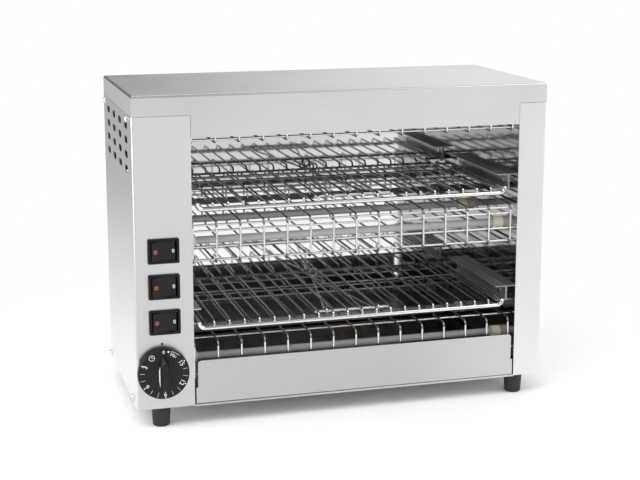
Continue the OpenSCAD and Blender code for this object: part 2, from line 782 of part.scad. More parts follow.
module upper_rack() rack(upper);
module lower_rack() rack(lower);

// Pull of a rack: two eyes on the bar, two legs under the wires and a ring that stands up at the back
module rack_pull(level) color("whitesmoke") place() translate([space_x, 0, pull_bar_z(level)]) {
    leg = [pull_eye_x - leg_gap / 2, ring_y - pull_bar_y];
    for (s = [left, right]) {
        translate([s * pull_eye_x, pull_bar_y, 0]) {
            rotate([0, 90, 0]) rotate_extrude() translate([pull_eye_r, 0]) circle(d = pull_loop_d);
            translate([0, 0, -pull_eye_r]) rotate([0, 0, 90 + s * atan2(leg.x, leg.y)]) rotate([90, 0, 0])
                bent_rod([[0, 0], [norm(leg), 0], [norm(leg), pull_bend_r + 0.3]], pull_bend_r, pull_leg_d);
        }
    }
    translate([0, ring_y, pull_bend_r + ring_r - pull_eye_r]) rotate([90, 0, 0])
        rotate_extrude() translate([ring_r, 0]) circle(d = pull_loop_d);
}

module upper_rack_pull() rack_pull(upper);
module lower_rack_pull() rack_pull(lower);

// Row of equal guard wires bent along one path, with cross wires from wall to wall
module guard(path, crosses) color("silver") place() {
    for (i = [0 : guard_wires - 1]) translate([guard_first_x + i * guard_pitch, 0, 0])
        upright_path() bent_rod(path, guard_bend_r, guard_d);
    for (p = crosses) bar_x([left_wall_x, right_wall_x], p[0], p[1], guard_d);
}

module top_guard() guard(
    [
        [guard_back, top_guard_low + guard_hook],
        [guard_back, top_guard_low],
        [guard_front, top_guard_low],
        [guard_front, top_guard_low + top_guard_rise]
    ],
    [
        [guard_front + cross_nest, top_guard_low + cross_nest],
        [cross_y, top_guard_low + top_guard_rise - 2],
        [back_cross_y, top_guard_low + guard_bend_r + 1]
    ]
);

module middle_guard() guard(
    [
        [guard_back, middle_guard_top - guard_hook],
        [guard_back, middle_guard_top],
        [guard_front, middle_guard_top],
        [guard_front, middle_guard_low],
        [guard_back, middle_guard_low],
        [guard_back, middle_guard_low + guard_hook]
    ],
    [
        [guard_front + cross_nest, middle_guard_top - cross_nest],
        [cross_y, middle_guard_top - guard_bend_r - 4],
        [cross_y, middle_guard_low + 0.4 * middle_guard_h],
        [guard_front + cross_nest, middle_guard_low + cross_nest],
        [back_cross_y, middle_guard_top - guard_bend_r - 1],
        [back_cross_y, middle_guard_low + guard_bend_r + 1]
    ]
);

module bottom_guard() guard(
    [
        [guard_back, bottom_guard_top - guard_hook],
        [guard_back, bottom_guard_top],
        [guard_front, bottom_guard_top],
        [guard_front, bottom_guard_top - bottom_guard_drop]
    ],
    [
        [cross_y, bottom_guard_top - bottom_guard_drop + 3],
        [middle_cross_y, bottom_guard_top - cross_step],
        [back_cross_y, bottom_guard_top - guard_bend_r - 1]
    ]
);

// Quartz tube between the sockets of its two ceramic ends
module tube(y, z) color("darkgray") place() difference() {
    bar_x([left_wall_x + tube_inset, right_wall_x - tube_inset], y, z, tube_d);
    bar_x([left_wall_x, right_wall_x], y, z, tube_d - 2 * tube_wall);
}

module top_front_tube() tube(front_tube_y, top_tube_z);
module top_back_tube() tube(back_tube_y, top_tube_z);
module middle_front_tube() tube(front_tube_y, middle_tube_z);
module middle_back_tube() tube(back_tube_y, middle_tube_z);
module bottom_front_tube() tube(front_tube_y, bottom_tube_z);
module bottom_back_tube() tube(back_tube_y, bottom_tube_z);

module heater_cores() color("dimgray") place()
    for (p = tube_places) bar_x([left_wall_x + tube_inset, right_wall_x - tube_inset], p[0], p[1], core_d);

// Ceramic ends on one wall: a socket for the tube inside and a neck through the wall
module ceramics(side) color("tan") place() {
    x = wall_x(side);
    for (p = tube_places) difference() {
        union() {
            bar_x([x, x - side * ceramic_l], p[0], p[1], ceramic_d);
            bar_x([x - side, x + side * (sheet_t + neck_l)], p[0], p[1], neck_d);
        }
        bar_x([x - side * tube_inset, x - side * (ceramic_l + 1)], p[0], p[1], tube_d + 2 * socket_room);
        bar_x([x - side * ceramic_l, x + side * (stud_end + 1)], p[0], p[1], stud_d + 2 * socket_room);
    }
}

module left_ceramics() ceramics(left);
module right_ceramics() ceramics(right);

// Studs and nuts that bring the current through the ceramic ends
module tube_terminals() color("goldenrod") place()
    for (side = [left, right]) for (p = tube_places) {
        x = wall_x(side);
        bar_x([x - side * tube_inset, x + side * stud_end], p[0], p[1], stud_d);
        bar_x([x + side * (sheet_t + neck_l), x + side * (stud_end - 1)], p[0], p[1], stud_nut_d);
    }

// Uprights that join the terminals of the tubes over each other
module heater_leads() color("white") place()
    for (side = [left, right]) for (y = [front_tube_y, back_tube_y])
        bar_z(wall_x(side) + side * (stud_end + lead_d / 2 + 0.05), y,
              [bottom_tube_z - 2, top_tube_z + 2], lead_d);

// Moves a switch piece to the middle of its bezel, on the panel's face
module at_switch(row) translate([switch_x - body_w / 2, 0, switch_z(row)]) children();

// Bezel in front of the panel and housing behind it, with a pocket for the rocker and pivot holes
module switch_housing(row) color("black") place() at_switch(row) difference() {
    union() {
        facing_front() linear_extrude(bezel_t) rounded_rectangle(bezel_w, bezel_h, bezel_r);
        span([-housing_w / 2, housing_w / 2], [0, switch_depth], [-housing_h / 2, housing_h / 2]);
    }
    span([-opening_w / 2, opening_w / 2], [-bezel_t - 1, rocker_back + 6], [-opening_h / 2, opening_h / 2]);
    bar_z(0, pivot_y, [-pin_reach - pin_end_room, pin_reach + pin_end_room], pivot_d + 2 * running_room);
}

module top_switch_housing() switch_housing(2);
module middle_switch_housing() switch_housing(1);
module low_switch_housing() switch_housing(0);

// Turns a rocker piece about its pivot, with the right end pressed in
module at_rocker(row) place() at_switch(row) translate([0, pivot_y, 0]) rotate([0, 0, rocker_tilt])
    translate([0, -pivot_y, 0]) children();

// Moves a lens to its place on the rocker's sloping face, pointing out
module at_lamp() translate([-lamp_x, lamp_y, 0]) rotate([0, 0, atan(lamp_slope)]) facing_front() children();

module rocker(row) color("black") at_rocker(row) difference() {
    union() {
        translate([0, 0, -rocker_h / 2]) linear_extrude(rocker_h) difference() {
            polygon([
                [-lamp_tip_x, -rocker_lamp_rise],
                [rocker_valley_x, -rocker_valley],
                [rocker_end_x, -rocker_end_rise],
                [rocker_wide, pivot_y],
                [rocker_back_x, rocker_back],
                [-rocker_back_x, rocker_back],
                [-rocker_wide, pivot_y]
            ]);
            intersection() {
                translate(hollow_mid) rotate(atan(lamp_slope)) translate([0, rocker_hollow - hollow_r])
                    circle(hollow_r);
                translate([-2 * bezel_w, -bezel_w]) square([2 * bezel_w + rocker_valley_x, 2 * bezel_w]);
            }
        }
        bar_z(0, pivot_y, [-pin_reach, pin_reach], pivot_d);
    }
    at_lamp() translate([0, 0, -lamp_depth]) cylinder(d = lamp_d + 2 * running_room, h = 2 * lamp_depth);
}

module top_rocker() rocker(2);
module middle_rocker() rocker(1);
module low_rocker() rocker(0);

module lamp(row) color("orangered") at_rocker(row) at_lamp() translate([0, 0, -lamp_depth])
    cylinder(d = lamp_d, h = lamp_depth + lamp_rise);

module top_lamp() lamp(2);
module middle_lamp() lamp(1);
module low_lamp() lamp(0);

// Moves a timer piece to its axis, pointing out of the panel
module at_timer() translate([timer_x - body_w / 2, 0, timer_z]) facing_front() children();

// Clockwork box behind the panel with a bush through it
module timer_body() color("dimgray") place() at_timer() difference() {
    union() {
        translate([0, 0, -sheet_t - timer_depth]) linear_extrude(timer_depth)
            rounded_rectangle(timer_w, timer_w, 3);
        translate([0, 0, -sheet_t - 1]) cylinder(d = bush_d, h = sheet_t + 1 + bush_front);
    }
    translate([0, 0, -sheet_t - shaft_in - 0.3]) cylinder(d = shaft_d + 2 * running_room, h = 100);
}

module timer_nut() color("silver") place() at_timer() difference() {
    cylinder(d = nut_d, h = nut_t, $fn = 6);
    translate([0, 0, -1]) cylinder(d = bush_d + 2 * panel_fit, h = nut_t + 2);
}

module timer_shaft() color("silver") place() at_timer()
    translate([0, 0, -sheet_t - shaft_in]) cylinder(d = shaft_d, h = sheet_t + shaft_in + shaft_front);

// Round dial with a raised grip that points at zero
module timer_knob() color("black") place() at_timer() difference() {
    union() {
        translate([0, 0, knob_gap]) rotate_extrude() {
            square([knob_d / 2 - knob_edge_r, knob_disc_t]);
            square([knob_d / 2, knob_disc_t - knob_edge_r]);
            translate([knob_d / 2 - knob_edge_r, knob_disc_t - knob_edge_r]) circle(knob_edge_r);
        }
        translate([0, 0, knob_gap + knob_disc_t - 1]) linear_extrude(grip_h + 1) {
            translate([0, grip_w / 2 - grip_tail]) circle(d = grip_w);
            polygon([
                [-grip_w / 2, grip_w / 2 - grip_tail],
                [grip_w / 2, grip_w / 2 - grip_tail],
                [grip_w / 2, grip_side],
                [grip_tip_w / 2, grip_tip],
                [-grip_tip_w / 2, grip_tip],
                [-grip_w / 2, grip_side]
            ]);
        }
    }
    cylinder(d = knob_hollow_d, h = knob_gap + knob_hollow);
    cylinder(d = shaft_d + 2 * knob_fit, h = shaft_front + 0.1);
}

module terminal_block() color("ivory") place() {
    x = gland_x - body_w / 2;
    y = body_d - block_back;
    difference() {
        span([x - block_w / 2, x + block_w / 2], [y - block_l / 2, y + block_l / 2], [sheet_t, sheet_t + block_h]);
        for (i = [-1, 0, 1]) bar_z(x - block_w / 4, y + i * block_l / 3.6, [sheet_t + 4, sheet_t + block_h + 1], 5);
    }
}

// Bundle from the terminal block to the timer and the three switches
module wiring_loom() color("dimgray") place() translate([switch_x - body_w / 2, 0, 0]) {
    block_y = body_d - block_back;
    loom_bend_r = 6;
    upright_path() bent_rod(
        [[block_y, sheet_t + block_h], [block_y, timer_z], [sheet_t + timer_depth, timer_z]], loom_bend_r, loom_d);
    bar_z(0, loom_y, [timer_z, switch_z(2)], loom_d);
    for (row = [0 : 2]) bar_y(0, [switch_depth, loom_y], switch_z(row), loom_d);
    translate([0, loom_y, switch_z(2)]) sphere(d = loom_d);
}

// Gland for the mains cable
module cable_gland() color("dimgray") place() translate([gland_x - body_w / 2, body_d, gland_z])
    rotate([-90, 0, 0]) difference() {
        union() {
            cylinder(d = gland_hex_d, h = gland_hex_t, $fn = 6);
            cylinder(d = gland_d, h = gland_out);
            translate([0, 0, -sheet_t - gland_nut_t]) cylinder(d = gland_neck_d, h = sheet_t + gland_nut_t + 1);
            translate([0, 0, -sheet_t - gland_nut_t]) cylinder(d = gland_d, h = gland_nut_t);
        }
        translate([0, 0, -50]) cylinder(d = gland_bore, h = 100);
    }

// Repeats its children at the four feet, on the casing's underside
module at_feet() {
    for (x = [left, right]) for (y = [foot_inset_y, body_d - foot_inset_y])
        translate([x * (body_w / 2 - foot_inset_x), y, 0]) children();
}

module feet() color("black") place() at_feet() difference() {
    union() {
        translate([0, 0, foot_edge - foot_h]) cylinder(d1 = foot_base_d, d2 = foot_top_d, h = foot_h - foot_edge);
        translate([0, 0, -foot_h]) cylinder(d1 = foot_base_d - 2 * foot_edge, d2 = foot_base_d, h = foot_edge);
    }
    translate([0, 0, -foot_h - 1]) cylinder(d = foot_recess_d, h = foot_recess + 1);
    translate([0, 0, -foot_h]) cylinder(d = screw_hole_d, h = foot_h + 1);
}

module foot_screws() color("silver") place() at_feet() {
    translate([0, 0, foot_recess - foot_h - screw_head_h]) cylinder(d = screw_head_d, h = screw_head_h);
    translate([0, 0, foot_recess - foot_h]) cylinder(d = screw_d, h = foot_h - foot_recess + sheet_t + foot_nut_t);
}

module foot_nuts() color("silver") place() at_feet() translate([0, 0, sheet_t]) difference() {
    rotate([0, 0, 30]) cylinder(d = foot_nut_d, h = foot_nut_t, $fn = 6);
    translate([0, 0, -1]) cylinder(d = screw_hole_d, h = foot_nut_t + 2);
}

// Pan-head screw with a cross slot: its head stands on the plane z = 0 and its shank goes down
module pan_screw(shank) {
    slot_w = 1.1;
    slot_l = screw_head_d * 0.6;
    difference() {
        union() {
            cylinder(d = screw_head_d, h = screw_head_h / 2);
            translate([0, 0, screw_head_h / 2])
                cylinder(d1 = screw_head_d, d2 = screw_head_d * 0.7, h = screw_head_h / 2);
        }
        for (a = [0, 90]) rotate([0, 0, a]) translate([0, 0, screw_head_h])
            cube([slot_l, slot_w, screw_head_h], center = true);
    }
    translate([0, 0, -shank]) cylinder(d = screw_d, h = shank);
}

module side_screws() color("whitesmoke") place()
    for (s = [left, right]) for (y = [side_screw_front, body_d - side_screw_back])
        for (z = [screw_edge, seam_screw_z])
            translate([s * body_w / 2, y, z]) rotate([0, s * 90, 0]) pan_screw(2 * sheet_t + 2);

module back_screws() color("whitesmoke") place()
    for (x = [-back_screw_x, 0, back_screw_x]) for (z = [screw_edge, seam_screw_z])
        translate([x, body_d, z]) rotate([-90, 0, 0]) pan_screw(2 * sheet_t + rear_air / 2);

top_cover();
left_casing();
right_casing();
left_inner_wall();
right_inner_wall();
ceiling_reflector();
rear_reflector();
back_panel();
base_plate();
crumb_tray();
upper_left_rail();
upper_right_rail();
lower_left_rail();
lower_right_rail();
rail_rivets();
upper_rack();
lower_rack();
upper_rack_pull();
lower_rack_pull();
top_guard();
middle_guard();
bottom_guard();
top_front_tube();
top_back_tube();
middle_front_tube();
middle_back_tube();
bottom_front_tube();
bottom_back_tube();
heater_cores();
left_ceramics();
right_ceramics();
tube_terminals();
heater_leads();
top_switch_housing();
middle_switch_housing();
low_switch_housing();
top_rocker();
middle_rocker();
low_rocker();
top_lamp();
middle_lamp();
low_lamp();
timer_body();
timer_nut();
timer_shaft();
timer_knob();
terminal_block();
wiring_loom();
cable_gland();
feet();
foot_screws();
foot_nuts();
side_screws();
back_screws();
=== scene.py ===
"""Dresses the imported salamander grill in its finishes, adds print and coils, and lights it in a studio."""

from __future__ import annotations

import logging
import math
from collections.abc import Callable, Sequence
from dataclasses import dataclass
from enum import Enum
from typing import Any

import bmesh
import bpy
from mathutils import Matrix, Vector


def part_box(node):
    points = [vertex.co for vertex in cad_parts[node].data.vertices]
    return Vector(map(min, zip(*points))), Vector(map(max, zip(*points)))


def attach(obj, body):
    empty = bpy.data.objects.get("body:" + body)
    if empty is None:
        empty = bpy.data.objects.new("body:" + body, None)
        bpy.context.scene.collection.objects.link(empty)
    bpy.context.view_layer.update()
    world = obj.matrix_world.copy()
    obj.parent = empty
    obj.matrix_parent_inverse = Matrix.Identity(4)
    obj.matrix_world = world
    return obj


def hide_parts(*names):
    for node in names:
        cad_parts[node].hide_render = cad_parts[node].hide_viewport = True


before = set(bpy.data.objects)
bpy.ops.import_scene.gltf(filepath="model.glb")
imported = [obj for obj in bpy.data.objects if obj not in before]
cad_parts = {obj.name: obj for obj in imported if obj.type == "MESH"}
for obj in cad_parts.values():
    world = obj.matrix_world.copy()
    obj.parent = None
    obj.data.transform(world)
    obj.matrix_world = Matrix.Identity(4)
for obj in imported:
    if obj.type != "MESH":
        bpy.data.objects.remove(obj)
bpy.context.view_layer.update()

LOG = logging.getLogger("salamander_grill")
MM = 0.001
PANEL_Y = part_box("left_casing")[0].y
UNDERSIDE_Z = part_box("left_casing")[0].z

Colour = tuple[float, float, float]
Point = tuple[float, float, float]
Span = tuple[float, float]
WHITE = (1.0, 1.0, 1.0, 1.0)
RIGHT = Vector((1.0, 0.0, 0.0))
FRONT = Vector((0.0, -1.0, 0.0))
UP = Vector((0.0, 0.0, 1.0))
ON_AXIS = 1e-9
TOUCHING = 1e-7
MIX_FIRST, MIX_SECOND, MIX_RESULT = 6, 7, 2  # sockets of a Mix node for colours


class Body(Enum):
    """Bodies that new pieces ride on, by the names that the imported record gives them."""

    OVEN = "oven"
    TIMER_DIAL = "timer_dial"
    TOP_SWITCH = "top_switch"
    MIDDLE_SWITCH = "middle_switch"
    LOW_SWITCH = "low_switch"


class Grain(Enum):
    """Direction of the rolling marks on a sheet, as the noise scale along X, Y and Z."""

    ALONG_X = (24.0, 1500.0, 1500.0)
    ALONG_Y = (1500.0, 24.0, 1500.0)
    UPRIGHT = (1500.0, 1500.0, 24.0)


class Pattern(Enum):
    """Even noise over a piece, as waves to the metre, number of finer layers and their strength."""

    CLOUD = (7.0, 3.0, 0.5)
    WAVE = (14.0, 1.0, 0.5)
    SPOTS = (35.0, 4.0, 0.6)
    SMEAR = (45.0, 2.0, 0.5)
    RUB = (55.0, 3.0, 0.5)
    HAZE = (60.0, 3.0, 0.5)
    PATCH = (180.0, 3.0, 0.5)
    FACETS = (700.0, 1.0, 0.5)
    DRAWN = (2600.0, 1.0, 0.5)


def spot(x: float, y: float, z: float) -> Vector:
    """Turns casing millimetres into the row frame.

    Args:
        x: Distance right of the casing's centre.
        y: Distance behind the panel's face.
        z: Height above the casing's underside.

    Returns:
        The point in metres.
    """
    return Vector((x * MM, y * MM + PANEL_Y, z * MM + UNDERSIDE_Z))


def rgba(colour: Colour) -> tuple[float, float, float, float]:
    """Returns a colour with full opacity."""
    return (*colour, 1.0)


def grey(level: float) -> Colour:
    """Returns a neutral colour."""
    return (level, level, level)


class Signal:
    """One socket of a node sheet, on which Python's operators add Math nodes."""

    def __init__(self, sheet: NodeSheet, socket: bpy.types.NodeSocket) -> None:
        """Keeps the sheet and the socket."""
        self.sheet = sheet
        self.socket = socket

    def _math(self, operation: str, first: Any, second: Any) -> Signal:
        """Adds a Math node on two values and returns its result."""
        return self.sheet.add("ShaderNodeMath", {"operation": operation}, {0: first, 1: second})

    def __add__(self, other: Signal | float) -> Signal:
        """Adds a value."""
        return self._math("ADD", self, other)

    __radd__ = __add__

    def __sub__(self, other: Signal | float) -> Signal:
        """Takes a value away."""
        return self._math("SUBTRACT", self, other)

    def __rsub__(self, other: Signal | float) -> Signal:
        """Takes the signal away from a value."""
        return self._math("SUBTRACT", other, self)

    def __mul__(self, other: Signal | float) -> Signal:
        """Multiplies by a value."""
        return self._math("MULTIPLY", self, other)

    __rmul__ = __mul__

    def __gt__(self, other: Signal | float) -> Signal:
        """Gives 1 where the signal is over a value, and otherwise 0."""
        return self._math("GREATER_THAN", self, other)

    def __lt__(self, other: Signal | float) -> Signal:
        """Gives 1 where the signal is under a value, and otherwise 0."""
        return self._math("LESS_THAN", self, other)

    def most(self, other: Signal | float) -> Signal:
        """Gives the larger of the signal and a value."""
        return self._math("MAXIMUM", self, other)

    def least(self, other: Signal | float) -> Signal:
        """Gives the smaller of the signal and a value."""
        return self._math("MINIMUM", self, other)


class NodeSheet:
    """Node tree of one material or of the world."""

    def __init__(self, tree: bpy.types.NodeTree) -> None:
        """Empties the tree."""
        self.tree = tree
        tree.nodes.clear()

    def add(self, kind: str, settings: dict[str, Any] | None = None,
            inputs: dict[str | int, Any] | None = None, output: str | int = 0) -> Signal:
        """Adds a node.

        Args:
            kind: Blender's type name of the node.
            settings: Properties of the node, set before its sockets.
            inputs: Values or signals for its sockets, by name or number.
            output: The socket to hand back.

        Returns:
            The signal at that socket.
        """
        node = self.tree.nodes.new(kind)
        for key, value in (settings or {}).items():
            setattr(node, key, value)
        for key, value in (inputs or {}).items():
            if isinstance(value, Signal):
                self.tree.links.new(value.socket, node.inputs[key])
            else:
                node.inputs[key].default_value = value
        return Signal(self, node.outputs[output] if node.outputs else node.inputs[0])

    def place(self) -> Signal:
        """Returns the place on the piece, in metres, which moves with it."""
        return self.add("ShaderNodeTexCoord", output="Object")

    def axis(self, vector: Signal, name: str) -> Signal:
        """Returns one axis of a vector."""
        return self.add("ShaderNodeSeparateXYZ", inputs={"Vector": vector}, output=name)

    def axes(self, names: str) -> list[Signal]:
        """Returns the named axes of the place on the piece."""
        return [self.axis(self.place(), name) for name in names]

    def pattern(self, kind: Pattern) -> Signal:
        """Adds an even pattern over the piece."""
        waves, detail, roughness = kind.value
        return self.noise((waves,) * 3, detail, roughness)

    def marks(self, grain: Grain) -> Signal:
        """Adds rolling marks over the piece."""
        return self.noise(grain.value, 3.0, 0.6)

    def noise(self, scale: Sequence[float], detail: float, roughness: float = 0.5) -> Signal:
        """Adds noise over the piece.

        Args:
            scale: Waves to the metre along X, Y and Z.
            detail: Number of finer layers.
            roughness: Strength of the finer layers.

        Returns:
            A value about 0.5.
        """
        stretched = self.add("ShaderNodeMapping", inputs={"Vector": self.place(), "Scale": tuple(scale)})
        return self.add("ShaderNodeTexNoise", inputs={
            "Vector": stretched, "Scale": 1.0, "Detail": detail, "Roughness": roughness}, output="Fac")

    def blend(self, first: Signal | Colour, second: Signal | Colour, share: Signal) -> Signal:
        """Mixes two colours.

        Args:
            first: Colour at share 0.
            second: Colour at share 1.
            share: Value from 0 to 1.

        Returns:
            The mixed colour.
        """
        ends = {MIX_FIRST: first, MIX_SECOND: second}
        colours = {key: end if isinstance(end, Signal) else rgba(end) for key, end in ends.items()}
        return self.add("ShaderNodeMix", {"data_type": "RGBA"}, {0: share, **colours}, output=MIX_RESULT)

    def step(self, value: Signal, low: float, high: float) -> Signal:
        """Returns a smooth step of a value from 0 at low to 1 at high."""
        return self.add("ShaderNodeMapRange", {"interpolation_type": "SMOOTHSTEP"},
                        {"Value": value, "From Min": low, "From Max": high})

    def span(self, value: Signal, reach: Span, start: float = 0.0) -> Signal:
        """Returns a smooth step of a value in metres over a reach in millimetres from a start in metres."""
        low, high = reach
        return self.step(value, start + low * MM, start + high * MM)

    def bump(self, height: Signal, strength: float, depth: float) -> Signal:
        """Returns a normal for a height.

        Args:
            height: Height from 0 to 1.
            strength: Share of the effect.
            depth: Height of the relief in metres.

        Returns:
            The bent normal.
        """
        return self.add("ShaderNodeBump", inputs={"Height": height, "Strength": strength, "Distance": depth})

    def surface(self, values: dict[str | int, Any]) -> Signal:
        """Returns a Principled surface with these values."""
        return self.add("ShaderNodeBsdfPrincipled", inputs=values)

    def finish(self, shader: Signal, kind: str = "ShaderNodeOutputMaterial") -> None:
        """Ends the sheet with an output node."""
        self.add(kind, inputs={"Surface": shader})


@dataclass(frozen=True)
class Finish:
    """A surface finish, made once as a material."""

    name: str

    def material(self) -> bpy.types.Material:
        """Makes the finish's material when it is first asked for.

        Returns:
            The material.
        """
        made = bpy.data.materials.get(self.name)
        if made is None:
            made = bpy.data.materials.new(self.name)
            made.use_nodes = True
            sheet = NodeSheet(made.node_tree)
            sheet.finish(self.shade(sheet))
        return made

    def shade(self, sheet: NodeSheet) -> Signal:
        """Returns the finish's shader, which each kind of finish builds for itself."""
        raise NotImplementedError(self.name)


@dataclass(frozen=True)
class SheetSteel(Finish):
    """Rolled stainless sheet with fine marks along one direction and faint clouds from handling."""

    colour: Colour
    roughness: float
    grain: Grain
    spread: float = 0.05
    cloud: float = 0.04
    relief: float = 0.05
    depth: float = 0.05 * MM
    mark_share: float = 0.35
    bright_reach: Span = (0.3, 0.6)

    def shade(self, sheet: NodeSheet) -> Signal:
        """Returns the steel's shader.

        Args:
            sheet: Sheet of the finish's material.

        Returns:
            The shader.
        """
        marks = sheet.marks(self.grain)
        cloud = sheet.pattern(Pattern.CLOUD)
        mixed = marks * self.mark_share + cloud * (1 - self.mark_share)
        return sheet.surface({
            "Base Color": self.base(sheet, sheet.step(mixed, *self.bright_reach)),
            "Metallic": 1.0,
            "Roughness": self.roughness + (marks - 0.5) * self.spread + (cloud - 0.5) * self.spread,
            "Normal": sheet.bump(marks, self.relief, self.depth),
        })

    def base(self, sheet: NodeSheet, share: Signal) -> Signal:
        """Returns the steel's colour, at a share of its full brightness."""
        dull = tuple(c * (1 - 2 * self.cloud) for c in self.colour)
        return sheet.blend(dull, self.colour, share)


@dataclass(frozen=True)
class CoverSteel(SheetSteel):
    """Rolled sheet of the cover, dark on its inside with smoke and painted shade."""

    # Near-black colour of the cover's inside: painted shade together with some smoke.
    smoke_and_painted_shade: Colour = (0.10, 0.097, 0.092)
    skin: float = 0.6 * MM

    def base(self, sheet: NodeSheet, share: Signal) -> Signal:
        """Returns the cover's colour, at a share of its full brightness outside.

        Args:
            sheet: Sheet of the finish's material.
            share: Share of the full brightness, from 0 to 1.

        Returns:
            The colour.
        """
        low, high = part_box("top_cover")
        skin = self.skin
        x, y, z = sheet.axes("XYZ")
        inside = (x > low.x + skin) * (x < high.x - skin) * (y > low.y + skin) * (y < high.y - skin)
        # Painted shade: the inside faces take the near-black colour, with some smoke.
        return sheet.blend(super().base(sheet, share), self.smoke_and_painted_shade, inside * (z < high.z - skin))


@dataclass(frozen=True)
class ColumnSteel(SheetSteel):
    """Rolled sheet of a casing: the left one has painted shade low on its front and high on its side."""

    # Darker colour of the painted shade on the left casing.
    wear_and_painted_shade: Colour = (0.60, 0.60, 0.595)
    painted_shade_heights: Span = (20.0, 320.0)
    face: float = 1.5

    def base(self, sheet: NodeSheet, share: Signal) -> Signal:
        """Returns the column's colour, at a share of its full brightness.

        Args:
            sheet: Sheet of the finish's material.
            share: Share of the full brightness, from 0 to 1.

        Returns:
            The colour.
        """
        x, y, z = sheet.axes("XYZ")
        rise = sheet.span(z, self.painted_shade_heights)
        front = y < PANEL_Y + self.face * MM
        # Painted shade: the left casing darkens low on its front and high on its side.
        wear_and_painted_shade = (front * (1 - rise) + (1 - front) * rise) * (x < 0.0)
        return sheet.blend(super().base(sheet, share), self.wear_and_painted_shade, wear_and_painted_shade)


@dataclass(frozen=True)
class PolishedSteel(Finish):
    """Mirror-bright sheet of the toasting space, slightly wavy, with a faint straw tint where it gets hot."""

    colour: Colour
    tint: Colour
    roughness: float
    ripple: float = 0.02
    depth: float = 1.0 * MM
    hazed: float = 0.03
    tint_reach: Span = (0.45, 0.75)

    def shade(self, sheet: NodeSheet) -> Signal:
        """Returns the polished steel's shader.

        Args:
            sheet: Sheet of the finish's material.

        Returns:
            The shader.
        """
        wave = sheet.pattern(Pattern.WAVE)
        haze = sheet.pattern(Pattern.HAZE)
        return sheet.surface({
            "Base Color": sheet.blend(self.colour, self.tint, self.tinted(sheet, wave)),
            "Metallic": 1.0,
            "Roughness": self.roughness + haze * self.hazed,
            "Normal": sheet.bump(wave, self.ripple, self.depth),
        })

    def tinted(self, sheet: NodeSheet, wave: Signal) -> Signal:
        """Returns how tinted the sheet is at a place, from 0 to 1."""
        return sheet.step(wave, *self.tint_reach)


@dataclass(frozen=True)
class RearMirror(PolishedSteel):
    """Rear reflector with painted shade behind the upper rack, most of all on the left."""

    painted_shade_z: Span = (190.0, 225.0)
    clear_x: Span = (0.0, 120.0)
    clear: float = 0.5
    faint: float = 0.12

    def tinted(self, sheet: NodeSheet, wave: Signal) -> Signal:
        """Returns the share of painted shade and faint tint at a place, from 0 to 1.

        Args:
            sheet: Sheet of the finish's material.
            wave: Waviness of the sheet, about 0.5.

        Returns:
            Painted shade and tint from 0 to 1.
        """
        x, z = sheet.axes("XZ")
        high = sheet.span(z, self.painted_shade_z)
        right = sheet.span(x, self.clear_x)
        # Painted shade: high up and to the left the reflector takes the tint colour; elsewhere it keeps only a
        # faint tint.
        return (high * (1 - right * self.clear)).most(super().tinted(sheet, wave) * self.faint)


@dataclass(frozen=True)
class TraySteel(Finish):
    """Crumb tray: a satin front plate with painted light towards its right, and a pan behind it that is
    darkened by heating and baked-on fat.
    """

    front: Colour
    pan: Colour
    stain: Colour
    front_roughness: float
    pan_roughness: float
    # Lighter front colour towards the right end: painted light.
    bright: Colour = (0.62, 0.62, 0.615)
    painted_light_x: Span = (40.0, 180.0)
    plate: Span = (0.6, 0.9)
    spot_reach: Span = (0.42, 0.72)
    spread: float = 0.06
    relief: float = 0.05
    depth: float = 0.05 * MM

    def shade(self, sheet: NodeSheet) -> Signal:
        """Returns the tray's shader.

        Args:
            sheet: Sheet of the finish's material.

        Returns:
            The shader.
        """
        x, y = sheet.axes("XY")
        behind = sheet.span(y, self.plate, PANEL_Y)
        right = sheet.span(x, self.painted_light_x)
        marks = sheet.marks(Grain.ALONG_X)
        spots = sheet.step(sheet.pattern(Pattern.SPOTS), *self.spot_reach)
        inside = sheet.blend(self.pan, self.stain, spots)
        roughness = (1 - behind) * self.front_roughness + behind * self.pan_roughness
        return sheet.surface({
            # Painted light: the front plate blends to the lighter colour on the right.
            "Base Color": sheet.blend(sheet.blend(self.front, self.bright, right), inside, behind),
            "Metallic": 1.0,
            "Roughness": roughness + (marks - 0.5) * self.spread,
            "Normal": sheet.bump(marks, self.relief, self.depth),
        })


@dataclass(frozen=True)
class PlatedWire(Finish):
    """Bright plated wire, rod or fastener, with fine drawing marks and a few duller patches."""

    colour: Colour
    dull: Colour
    roughness: float
    patch_reach: Span = (0.5, 0.75)
    patch_rough: float = 0.1
    spread: float = 0.05
    relief: float = 0.03
    depth: float = 0.03 * MM

    def shade(self, sheet: NodeSheet) -> Signal:
        """Returns the plated metal's shader.

        Args:
            sheet: Sheet of the finish's material.

        Returns:
            The shader.
        """
        patch = self.patch(sheet)
        marks = sheet.pattern(Pattern.DRAWN)
        return sheet.surface({
            "Base Color": sheet.blend(self.colour, self.dull, patch),
            "Metallic": 1.0,
            "Roughness": self.roughness + patch * self.patch_rough + (marks - 0.5) * self.spread,
            "Normal": sheet.bump(marks, self.relief, self.depth),
        })

    def patch(self, sheet: NodeSheet) -> Signal:
        """Returns how dull the plating is at a place, from 0 to 1."""
        return sheet.step(sheet.pattern(Pattern.PATCH), *self.patch_reach)


